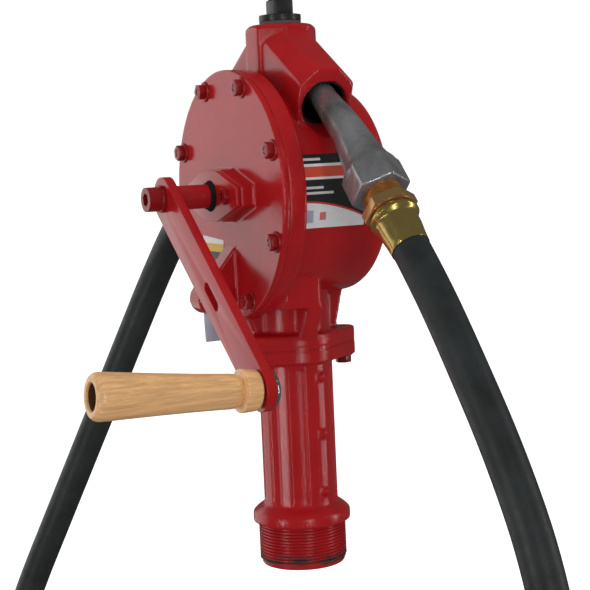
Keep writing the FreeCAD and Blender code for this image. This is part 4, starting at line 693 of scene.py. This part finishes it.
class PUMP_OT_stage(bpy.types.Operator):
    """Sets out the floor, the soft lights and the camera"""

    bl_idname = "hand_pump.stage"
    bl_label = "Stage"

    def execute(self, context):
        scene = context.scene
        settings = scene.pump_stage
        scene.view_settings.view_transform = "Standard"

        bm = bmesh.new()
        bmesh.ops.create_grid(bm, x_segments=1, y_segments=1, size=40)
        bmesh.ops.translate(bm, vec=(0, 0, settings.floor_level), verts=bm.verts)
        mesh = bpy.data.meshes.new("floor")
        bm.to_mesh(mesh)
        bm.free()
        floor = bpy.data.objects.new("floor", mesh)
        scene.collection.objects.link(floor)
        material, tree, shader = blank("floor_paint")
        pale = tinted(tree, spots(tree, 3), (0.80, 0.80, 0.80), (0.84, 0.84, 0.84))
        tree.links.new(pale, shader.inputs["Base Color"])
        shader.inputs["Roughness"].default_value = 0.9
        shader.inputs["Specular IOR Level"].default_value = 0.1
        shader.inputs["Emission Color"].default_value = (1, 1, 1, 1)
        shader.inputs["Emission Strength"].default_value = 0.93
        mesh.materials.append(material)
        floor.visible_diffuse = False
        floor.visible_glossy = False

        world = bpy.data.worlds.new("studio")
        world.use_nodes = True
        tree = world.node_tree
        back = tree.nodes["Background"]
        path = put(tree, "ShaderNodeLightPath")
        unseen = spread(tree, path.outputs["Is Diffuse Ray"], 0.08, 0.43, 0, 1)
        strength = spread(tree, path.outputs["Is Camera Ray"], unseen, 1.0, 0, 1)
        tree.links.new(strength, back.inputs["Strength"])
        back.inputs["Color"].default_value = (1, 1, 1, 1)
        scene.world = world

        key, strip = settings.key_light, settings.strip_light
        self.panel(scene, "side_panel", (-1.7, -0.95, 0.25), (2.2, 2.0), key, aim=(0, 0, 0.15))
        self.panel(scene, "top_panel", (0.15, -0.1, 1.5), (1.1, 1.1), settings.top_light, mirrored=False)
        self.panel(scene, "camera_fill", (1.5, -0.75, 0.35), (0.8, 0.8), settings.fill_light, mirrored=False)
        self.panel(scene, "left_strip", (0.39, -1.35, 0.2), (0.045, 1.2), strip)
        self.panel(scene, "right_strip", (1.50, -0.24, 0.2), (0.045, 1.2), strip)
        self.panel(scene, "edge_strip", (0.75, 1.15, 0.35), (0.08, 1.4), strip)

        camera = bpy.data.objects.new("camera", bpy.data.cameras.new("camera"))
        scene.collection.objects.link(camera)
        ahead = Vector((-0.8844, 0.4554, -0.1025)).normalized()
        right = Vector((0.4614, 0.8861, -0.044))
        right = (right - ahead * right.dot(ahead)).normalized()
        over = right.cross(ahead)
        turn = Matrix((right, over, -ahead)).transposed().to_4x4()
        stand = Matrix.Translation((0.9113, -0.4671, 0.2613))
        camera.matrix_world = stand @ turn
        camera.data.lens = settings.lens
        camera.data.sensor_width = 36
        camera.data.clip_start = 0.01
        camera.data.clip_end = 200
        scene.camera = camera
        return {"FINISHED"}

    def panel(self, scene, name, place, size, power, aim=(0, 0, 0.2), mirrored=True):
        """A soft rectangular light aimed at a point; mirrored says whether it shows in glossy surfaces."""
        lamp = bpy.data.lights.new(name, "AREA")
        lamp.shape = "RECTANGLE"
        lamp.size, lamp.size_y = size
        lamp.energy = power
        light = bpy.data.objects.new(name, lamp)
        scene.collection.objects.link(light)
        light.location = place
        light.visible_glossy = mirrored
        light.rotation_euler = (Vector(aim) - Vector(place)).to_track_quat("-Z", "Y").to_euler()


class PUMP_OT_hose(bpy.types.Operator):
    """Runs the hose from the outlet round under the pump to the spout, with its ferrules and nipples"""

    bl_idname = "hand_pump.hose"
    bl_label = "Hose and fittings"

    route = (
        (-105.4907, 0, 252.5245), (-142.8048, 0, 229.2081), (-188, -1.5, 199.5), (-221.3, -10.8, 156.5),
        (-235.8, -29.5, 106.7), (-273.4, -77.9, -22.2), (-305, -118.6, -130.6), (-328, -148, -245),
        (-335, -166, -345), (-325, -178, -440), (-292, -184, -525), (-235, -184, -600), (-155, -178, -644),
        (-60, -166, -662), (45, -148, -654), (140, -126, -618), (215, -102, -565), (268, -78, -485),
        (302, -56, -395), (321, -37, -300), (327, -22, -205), (320, -11, -115), (303, -4, -40),
        (279.5, 0, 28), (247, 0, 84.5), (205, 0, 139.5), (177.4525, 0, 173.1292), (156.5, 0, 194.6),
    )
    ferrule_section = (
        (11.8, 0), (12.2, 0), (12.3, 3), (12.65, 8), (13.35, 14), (13.35, 19), (13.7, 21.2), (15.1, 22.6),
        (15.85, 23.6), (15.85, 25.2), (15.2, 26), (11.8, 26),
    )

    def execute(self, context):
        sizes = context.scene.pump_sizes
        line = bpy.data.curves.new("hose_cover", "CURVE")
        line.dimensions = "3D"
        run = line.splines.new("NURBS")
        run.points.add(len(self.route) - 1)
        for point, place in zip(run.points, self.route):
            point.co = (*(Vector(place) * MM), 1)
        run.order_u = 3
        run.use_endpoint_u = True
        run.resolution_u = 8
        line.bevel_depth = sizes.hose_diameter / 2
        line.bevel_resolution = 8
        line.use_fill_caps = True
        line.materials.append(finish_of("hose_rubber"))
        hose = bpy.data.objects.new("hose_cover", line)
        context.scene.collection.objects.link(hose)
        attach(hose, "pump")
        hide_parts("hose")

        outlet_foot = Vector(OUTLET_FACE) + Vector(OUTLET_AXIS) * OUTLET_FITTINGS
        outlet_back = tuple(-c for c in OUTLET_AXIS)
        for name, foot, axis, stand_off in (
            ("outlet", outlet_foot, outlet_back, 18.0),
            ("spout", SPOUT_FOOT, SPOUT_UP, 6.0),
        ):
            self.ferrule(name, foot, axis)
            self.nipple(name, foot, axis, stand_off, sizes)
        return {"FINISHED"}

    def ferrule(self, name, foot, axis):
        """The pressed brass ferrule: mouth on the hose, waist, and rolled rim by the hexagon."""
        bm = seated(turned(self.ferrule_section, 0.35, segments=2), foot, axis, LEVEL)
        finish = finish_of("ferrule_brass")
        return piece(f"{name}_ferrule_shell", bm, finish, "pump", [f"{name}_ferrule"])

    def nipple(self, name, foot, axis, stand_off, sizes):
        """The brass nipple: neck, hexagon and pipe thread."""
        neck = turned([(9.3, 25), (11.6, 25), (11.6, 29.5), (9.3, 29.5)], 0.3)
        collar = turned([(9.3, 28.6), (15.0, 28.6), (15.0, 29.3), (9.3, 29.3)], 0.2)
        nut = hexagon(17.5, 29, 35.5, 0.5)
        to_face, engaged = 38 + stand_off, 15
        top = to_face + engaged
        core = turned([(7, 35), (11.9, 35), (11.9, top - 1.5), (11.4, top), (7, top)], 0.3)
        ridge = coil(12.95, 11.9, sizes.nipple_pitch, 35.7, top - 0.6, 56)
        bm = seated(together(neck, collar, nut, core, ridge), foot, axis, LEVEL)
        finish = finish_of("nipple_brass")
        return piece(f"{name}_nipple_body", bm, finish, "pump", [f"{name}_nipple"])


class PUMP_OT_spout(bpy.types.Operator):
    """Casts the spout: six-sided socket, round body, and the pipe that parks in the holster arm"""

    bl_idname = "hand_pump.spout"
    bl_label = "Spout"

    body_section = (
        (0, 62), (18.2, 62), (17.0, 65.0), (15.6, 68), (14.2, 74), (13.0, 82), (11.9, 90), (11.0, 97),
        (10.3, 101), (7.5, 103.5), (0, 103.5),
    )
    pipe_section = (
        (0, -7), (7.5, -7), (10.4, -3.5), (11.0, 1), (11.0, 7), (10.4, 15), (9.4, 26), (8.7, 36),
        (8.3, 60), (8.2, 69), (6.4, 69), (6.4, 57), (0, 57),
    )

    def execute(self, context):
        body = together(hexagon(19.8, 44, 64, 1.4), turned(self.body_section, 0))
        seated(body, SPOUT_FOOT, SPOUT_UP, LEVEL)
        rising = sloping(-SPOUT_PIPE_SLOPE, -1)
        pipe = seated(turned(self.pipe_section, 0), SPOUT_BEND, rising, LEVEL)
        skin = cast(together(body, pipe), 0.6, 9)
        piece("cast_spout", skin, finish_of("spout_casting"), "pump", ["nozzle_spout"], sharp=60)
        return {"FINISHED"}


class PUMP_OT_housing(bpy.types.Operator):
    """Casts the pump body: drum, rim, neck, boss and its two arms, with painted shade in the holster bore"""

    bl_idname = "hand_pump.housing"
    bl_label = "Pump body"

    def execute(self, context):
        sizes = context.scene.pump_sizes
        ledge = bmesh.new()
        bmesh.ops.create_cube(ledge, size=1)
        bmesh.ops.scale(ledge, vec=(3.2, 19.5, 5), verts=ledge.verts)
        seated(softened(ledge, 0.5, 2), (22.2, 1.0, 335.5))
        pillar = prism([(-31, -130), (31, -130), (43, -152), (-43, -152)], 0, 11.5)
        seated(pillar, (0, -9.5, 0), LEVEL)
        lumps = together(packed("pump_housing"), ledge, pillar)
        skin = cast(lumps, sizes.casting_grid, sizes.casting_softening)
        self.bore_chamber(skin)
        # Painted shade: a black sleeve inside the holster bore stands for the shadow in it.
        shade_sleeve = turned([(0, 38.6), (14.9, 38.6), (14.9, 4.2), (15.7, 4.2), (15.7, 39.2), (0, 39.2)], 0)
        seated(shade_sleeve, HOLSTER_FACE, HOLSTER_INWARD, LEVEL)
        piece("holster_painted_shade", shade_sleeve, finish_of("painted_shade_black"), "pump")
        finish = finish_of("casting_enamel")
        piece("pump_casting", skin, finish, "pump", ["pump_housing"], sharp=60)
        return {"FINISHED"}

    def bore_chamber(self, skin):
        """Trues the chamber's softened wall, so that the vanes turn clear of it."""
        bored, inner, front, back = 57.5, 52.0, -40.3, 25.9
        for v in skin.verts:
            out = v.co / MM - Vector(CHAMBER_MIDDLE)
            reach = math.hypot(out.x, out.z)
            if inner < reach < bored and front < out.y < back:
                v.co += Vector((out.x, 0, out.z)) * (bored / reach - 1) * MM


class PUMP_OT_cover(bpy.types.Operator):
    """Casts the cover with its gland boss and its padlock lug"""

    bl_idname = "hand_pump.cover"
    bl_label = "Cover"

    def execute(self, context):
        skin = cast(packed("cover_plate"), 0.76, 2)
        finish = finish_of("smooth_enamel")
        piece("cover_casting", skin, finish, "pump", ["cover_plate"], sharp=60)
        band = turned(
            [
                (79, 38.4), (82.46, 38.4), (82.46, 40.4), (82.15, 40.6), (82.46, 40.8), (82.46, 44.55),
                (82.05, 44.97), (79, 44.97),
            ],
            0,
            192,
        )
        on_shaft(band)
        finish = finish_of("casting_enamel")
        piece("cover_joint", band, finish, "pump", ["cover_gasket"], sharp=80)
        return {"FINISHED"}


class PUMP_OT_cover_bolts(bpy.types.Operator):
    """Fits the eight flanged hexagon bolts round the cover"""

    bl_idname = "hand_pump.cover_bolts"
    bl_label = "Cover bolts"

    turns = (12, 47, 28, 5, 52, 19, 36, 8)

    def execute(self, context):
        for index, turn in enumerate(self.turns):
            angle = math.radians(22.5 + 45 * index)
            across, up = COVER_BOLT_CIRCLE * math.cos(angle), COVER_BOLT_CIRCLE * math.sin(angle)
            bm = flanged_bolt(6.9, 5.6, 1.3, 5.7, turn)
            seated(bm, (across, COVER_FRONT, SHAFT_HEIGHT + up), OUTWARD)
            number, finish = index + 1, finish_of("bolt_enamel")
            piece(f"cover_bolt_head_{number}", bm, finish, "pump", [f"cover_bolt_{number}"])
        return {"FINISHED"}


def flanged_bolt(flange, corner, thick, height, turn):
    """A bolt head: washer flange, hexagon with a dimple, and the first of its shank."""
    rim = [(flange, 0), (flange, thick * 0.5), (flange - 0.9, thick)]
    plate = turned([(0, -3), (3, -3), (3, 0), *rim, (0, thick)], 0.25, 48, 2)
    return together(plate, spun(hexagon(corner, thick * 0.5, height, 0.5, dimple=0.45), turn))


class PUMP_OT_gland(bpy.types.Operator):
    """Fits the gland plate with its two screws and the shaft, with a painted shade ring where the shaft
    enters the gland
    """

    bl_idname = "hand_pump.gland"
    bl_label = "Gland and shaft"

    def execute(self, context):
        edge = context.scene.pump_sizes.edge
        plate = prism(self.corners(1.2), 9.75, 13.0, 0.8)
        on_shaft(plate, COVER_FRONT)
        piece("gland_casting", plate, finish_of("smooth_enamel"), "pump", ["gland_plate"])
        for side, place in (("right", 25), ("left", -25)):
            head = socket_screw(5.4, 13.0, 16.4, 2.6, 2.0, 0.9)
            seated(head, (place, COVER_FRONT, SHAFT_HEIGHT), OUTWARD)
            finish = finish_of("bolt_enamel")
            piece(f"gland_screw_head_{side}", head, finish, "pump", [f"gland_screw_{side}"])
        shaft = on_shaft(turned([(0, -34.5), (SHAFT_RADIUS, -34.5), (SHAFT_RADIUS, 92.3), (0, 92.3)], edge))
        piece("painted_shaft", shaft, finish_of("smooth_enamel"), "crank", ["rotor_shaft"])
        # Painted shade: a black ring round the shaft at the gland stands for the shadowed gap there.
        bore = SHAFT_RADIUS + 0.08
        shade_ring = turned([(bore, 54.8), (10.6, 54.8), (10.4, 58.2), (9.1, 59.8), (8.8, 60.9), (bore, 60.9)], 0.1)
        piece("gland_shade_ring", on_shaft(shade_ring), finish_of("painted_shade_black"), "pump")
        return {"FINISHED"}

    def corners(self, margin):
        """The gland's eight corners, let out by a margin."""
        wide, end, tall, flat = 39.7 + margin, 5.5 + margin * 0.7, 15.5 + margin, 10 + margin * 0.3
        right = [(wide, -end), (wide, end), (flat, tall)]
        return [*right[1:], *((-x, y) for x, y in reversed(right)), (-flat, -tall), (flat, -tall), right[0]]


def socket_screw(radius, low, high, corner, depth, edge):
    """A round screw head with a hexagon socket."""
    head = turned([(0, low - 1), (radius, low - 1), (radius, high), (0, high)], 0, 64)
    return softened(less(head, bar_of(6, corner, high - depth, high + depth)), edge, 3, 50)


class PUMP_OT_crank(bpy.types.Operator):
    """Forges the crank arm and fits its screw and split washer"""

    bl_idname = "hand_pump.crank"
    bl_label = "Crank"

    def execute(self, context):
        sizes = context.scene.pump_sizes
        arm = hulled([(0, 0, 14.06), (CRANK_LENGTH, 0, 13.04)], -CRANK_THICKNESS, 0, 72)
        slot = hulled([(84.4, 0, 3.4), (100.6, 0, 3.4)], -9, 3, 40)
        arm = softened(less(arm, slot), sizes.arm_edge, 4, 40)
        on_shaft(arm, CRANK_FRONT, CRANK_DIRECTION)
        piece("crank_forging", arm, finish_of("smooth_enamel"), "crank", ["crank_arm"])

        screw = socket_screw(8.0, 3.4, 11.5, 4.6, 5.0, 1.3)
        on_shaft(screw, CRANK_FRONT, (1, 0, 0.2))
        piece("crank_screw_head", screw, finish_of("bolt_enamel"), "crank", ["crank_screw"])

        washer = bmesh.new()
        verts = [washer.verts.new((r, 0, z)) for r, z in ((5.2, 0), (9.0, 0), (9.0, 2.5), (5.2, 2.5))]
        edges = [washer.edges.new((verts[i], verts[(i + 1) % 4])) for i in range(4)]
        turn_to_gap = math.radians(350)
        bmesh.ops.spin(
            washer,
            geom=verts + edges,
            cent=(0, 0, 0),
            axis=UP,
            dvec=(0, 0, 0),
            angle=turn_to_gap,
            steps=70,
            use_merge=False,
        )
        bmesh.ops.holes_fill(washer, edges=[e for e in washer.edges if e.is_boundary], sides=0)
        bmesh.ops.recalc_face_normals(washer, faces=washer.faces)
        softened(washer, 0.3, 2)
        on_shaft(washer, CRANK_FRONT, (0.5, 0, 0.9))
        piece("split_washer", washer, finish_of("bolt_enamel"), "crank", ["lock_washer"])
        return {"FINISHED"}


class PUMP_OT_grip(bpy.types.Operator):
    """Turns the wooden grip, with painted shade in its end bore, and the domed end of its pin"""

    bl_idname = "hand_pump.grip"
    bl_label = "Grip"

    def execute(self, context):
        start, end = 1.5, 103.1
        pin, bore, bore_end = 4.05, 8.0, end - 32
        foot = [(11.2, 0), (11.9, 0.5), (12.2, 2), (12.6, 6), (12.9, 9), (12.95, 9.9)]
        groove = [(12.7, 10.4), (12.1, 10.6), (9.0, 10.9), (8.6, 11.3), (8.8, 11.9), (9.5, 12.9)]
        body = [(10.1, 14.5), (10.4, 17), (10.5, 22), (11.0, 38), (12.0, 60), (13.1, 80), (13.75, 91)]
        nose = [(13.9, 5), (13.7, 3.2), (13.2, 1.9), (12.3, 0.7), (11.2, 0.1), (10.0, 0), (8.6, 0.2)]
        section = [(pin, start)]
        section += [(r, start + z) for r, z in foot + groove + body]
        section += [(r, end - z) for r, z in nose]
        section += [(bore, end - 1.2), (bore, bore_end), (pin, bore_end)]
        bm = seated(turned(section, 0), GRIP_PIVOT, GRIP_AXIS)
        piece("turned_grip", bm, finish_of("grip_maple"), "grip", ["wooden_grip"], sharp=44)
        # Painted shade: a dark sleeve inside the grip's end bore stands for the shadow in it.
        mouth = [(7.95, end - 1.6), (7.75, end - 1.6), (7.55, end - 4)]
        shade_sleeve = turned([(7.55, bore_end + 0.1), (7.95, bore_end + 0.1), *mouth], 0)
        seated(shade_sleeve, GRIP_PIVOT, GRIP_AXIS)
        piece("grip_bore_painted_shade", shade_sleeve, finish_of("bore_shade_brown"), "grip")
        dome = [(0, -5.0), (4, -4.9), (7.6, -4.5), (10.2, -3.6), (11.8, -2.2), (12.4, -0.8)]
        nut = turned([*dome, (12.4, 0), (0, 0)], 0)
        seated(nut, (GRIP_PIVOT[0], CRANK_FRONT + CRANK_THICKNESS, GRIP_PIVOT[2]), OUTWARD)
        piece("pin_dome", nut, finish_of("polished_steel"), "crank", ["grip_nut"], sharp=50)
        dress("polished_steel", "grip_pin")
        return {"FINISHED"}


class PUMP_OT_adapter(bpy.types.Operator):
    """Casts the bung adapter with its flange, ribs and bung thread, and fits the two flange bolts"""

    bl_idname = "hand_pump.adapter"
    bl_label = "Bung adapter"

    column_section = (
        (17.5, -2), (29.6, -2), (29.6, 0), (33.66, 0), (33.66, 6.2), (33.0, 7.2), (31.6, 8.6), (29.4, 10.4),
        (27.2, 11.8), (25.7, 13.2), (24.8, 15), (24.4, 17.5), (24.4, 107), (25.4, 110.4), (27, 112),
        (27, 119), (17.5, 119),
    )
    rib_azimuths = (-5, -50, 60, 105, 150, -165, -120, -85)
    seam_azimuth = 13.5
    dot_heights = (22.5, 62.5, 101.5)

    def execute(self, context):
        sizes = context.scene.pump_sizes
        tube = turned(self.column_section, 0)
        flange = self.flange(30, 8.5, FLANGE_UNDERSIDE, 120.5, 17.4, 56)
        ribs = [
            spun(prism([(21, -4), (25.4, -4), (25.4, 4), (21, 4)], 10, 112), azimuth)
            for azimuth in self.rib_azimuths
        ]
        seam = together(prism([(22, -3.75), (25.9, -3.75), (25.9, 3.75), (22, 3.75)], 12, 112), *self.dots())
        column = together(tube, flange, spun(seam, self.seam_azimuth), *ribs)
        skin = cast(seated(column), 0.8, 3)
        finish = finish_of("casting_enamel")
        piece("adapter_casting", skin, finish, "pump", ["bung_adapter"], sharp=60)

        lips = ((118.6, 120.85), (121.05, 123.4))
        joint = seated(together(*(self.flange(29.75, 8.3, low, high, 25, 48) for low, high in lips)))
        piece("flange_joint", joint, finish_of("casting_enamel"), "pump", ["inlet_gasket"])

        crest, root = BUNG_THREAD_RADIUS, BUNG_THREAD_RADIUS - sizes.thread_depth
        core = turned([(16.2, -29.7), (28.2, -29.7), (root, -28.7), (root, 1), (16.2, 1)], 0.3)
        ridge = coil(crest, root, sizes.bung_pitch, -28.2, -0.9, 96)
        thread = seated(together(core, ridge))
        piece("bung_thread_ring", thread, finish_of("thread_enamel"), "pump")

        for name, side, turn in (("front", -FLANGE_BOLT_REACH, 10), ("back", FLANGE_BOLT_REACH, 41)):
            bolt = seated(flanged_bolt(6.9, 5.8, 1.2, 6.0, turn), (0, side, FLANGE_UNDERSIDE), DOWN)
            finish = finish_of("bolt_enamel")
            piece(f"flange_bolt_head_{name}", bolt, finish, "pump", [f"flange_bolt_{name}"])
        return {"FINISHED"}

    def flange(self, middle, end, low, high, bore, steps):
        """A plate round the bore and the two bolts, with the bore through it."""
        reach = FLANGE_BOLT_REACH
        plate = hulled([(0, 0, middle), (0, reach, end), (0, -reach, end)], low, high, steps)
        return less(plate, turned([(0, 100), (bore, 100), (bore, 130), (0, 130)], 0, 48))

    def dots(self):
        """The round heads in a row down the seam."""
        dots = []
        for height in self.dot_heights:
            dot = bmesh.new()
            bmesh.ops.create_uvsphere(dot, u_segments=24, v_segments=14, radius=2.9)
            bmesh.ops.translate(dot, vec=(26.4, 0, height), verts=dot.verts)
            dots.append(dot)
        return dots


class PUMP_OT_plug(bpy.types.Operator):
    """Moulds the filler plug with its square head"""

    bl_idname = "hand_pump.plug"
    bl_label = "Filler plug"

    def execute(self, context):
        skirt = turned([(0, 324), (12.9, 324), (12.9, 341), (14.1, 341), (14.1, 345.5), (0, 345.5)], 0.5)
        head = prism([(-7, -7), (7, -7), (7, 7), (-7, 7)], 344.5, 355.6)
        softened(head, 1.3, 3)
        top = max(head.faces, key=lambda f: (round(f.calc_center_median().z, 3), f.calc_area()))
        bmesh.ops.inset_individual(head, faces=[top], thickness=1.5, depth=1.1)
        bmesh.ops.inset_individual(head, faces=[top], thickness=1.6, depth=0.5)
        plug = seated(together(skirt, head))
        piece("plug_moulding", plug, finish_of("plug_plastic"), "pump", ["filler_plug"])
        return {"FINISHED"}


class PUMP_OT_labels(bpy.types.Operator):
    """Finishes the two labels with plain printed bands, and the padlock tab"""

    bl_idname = "hand_pump.labels"
    bl_label = "Labels and tab"

    def execute(self, context):
        dress("side_print", "side_label")
        dress("caution_print", "caution_label")
        tab = softened(packed("lock_tab"), 0.0005, 2, 40)
        piece("tab_plate", tab, finish_of("tab_zinc"), "pump", ["lock_tab"])
        return {"FINISHED"}


class PUMP_OT_works(bpy.types.Operator):
    """Finishes the parts inside the pump and between its castings"""

    bl_idname = "hand_pump.works"
    bl_label = "Inner works"

    def execute(self, context):
        dress("gasket_fibre", "plug_gasket", "shaft_packing")
        dress("ground_iron", "rotor")
        dress("oiled_bronze", "front_bushing", "rear_bushing", "valve_seat", "check_valve_poppet")
        dress("dark_steel", "rotor_key")
        # Painted shade: the spacer behind the crank arm is black to stand for the shadow there.
        dress("painted_shade_black", "shaft_spacer")
        dress("polished_steel", "inlet_strainer")
        dress("ground_iron", *(f"vane_{side}" for side in ("right", "up", "left", "down")))
        dress("polished_steel", *(f"vane_spring_{side}" for side in ("right", "up", "left", "down")))
        return {"FINISHED"}


class PUMP_PT_sidebar(bpy.types.Panel):
    """Lists the pump's pieces"""

    bl_idname = "PUMP_PT_sidebar"
    bl_label = "Hand pump"
    bl_space_type = "VIEW_3D"
    bl_region_type = "UI"
    bl_category = "Hand pump"

    def draw(self, context):
        for group in (context.scene.pump_sizes, context.scene.pump_colours, context.scene.pump_stage):
            box = self.layout.box()
            for key in group.__annotations__:
                box.prop(group, key)
        for operator in OPERATORS:
            self.layout.operator(operator.bl_idname)


SETTINGS = (PumpColours, PumpSizes, StageSettings)
OPERATORS = (
    PUMP_OT_stage,
    PUMP_OT_spout,
    PUMP_OT_hose,
    PUMP_OT_housing,
    PUMP_OT_cover,
    PUMP_OT_cover_bolts,
    PUMP_OT_gland,
    PUMP_OT_crank,
    PUMP_OT_grip,
    PUMP_OT_adapter,
    PUMP_OT_plug,
    PUMP_OT_labels,
    PUMP_OT_works,
)


def register():
    for cls in (*SETTINGS, *OPERATORS, PUMP_PT_sidebar):
        bpy.utils.register_class(cls)
    bpy.types.Scene.pump_colours = PointerProperty(type=PumpColours)
    bpy.types.Scene.pump_sizes = PointerProperty(type=PumpSizes)
    bpy.types.Scene.pump_stage = PointerProperty(type=StageSettings)


def unregister():
    del bpy.types.Scene.pump_stage
    del bpy.types.Scene.pump_sizes
    del bpy.types.Scene.pump_colours
    for cls in reversed((*SETTINGS, *OPERATORS, PUMP_PT_sidebar)):
        bpy.utils.unregister_class(cls)


def main():
    register()
    for operator in OPERATORS:
        group, action = operator.bl_idname.split(".")
        getattr(getattr(bpy.ops, group), action)()
    bpy.context.view_layer.update()


if __name__ == "__main__":
    main()
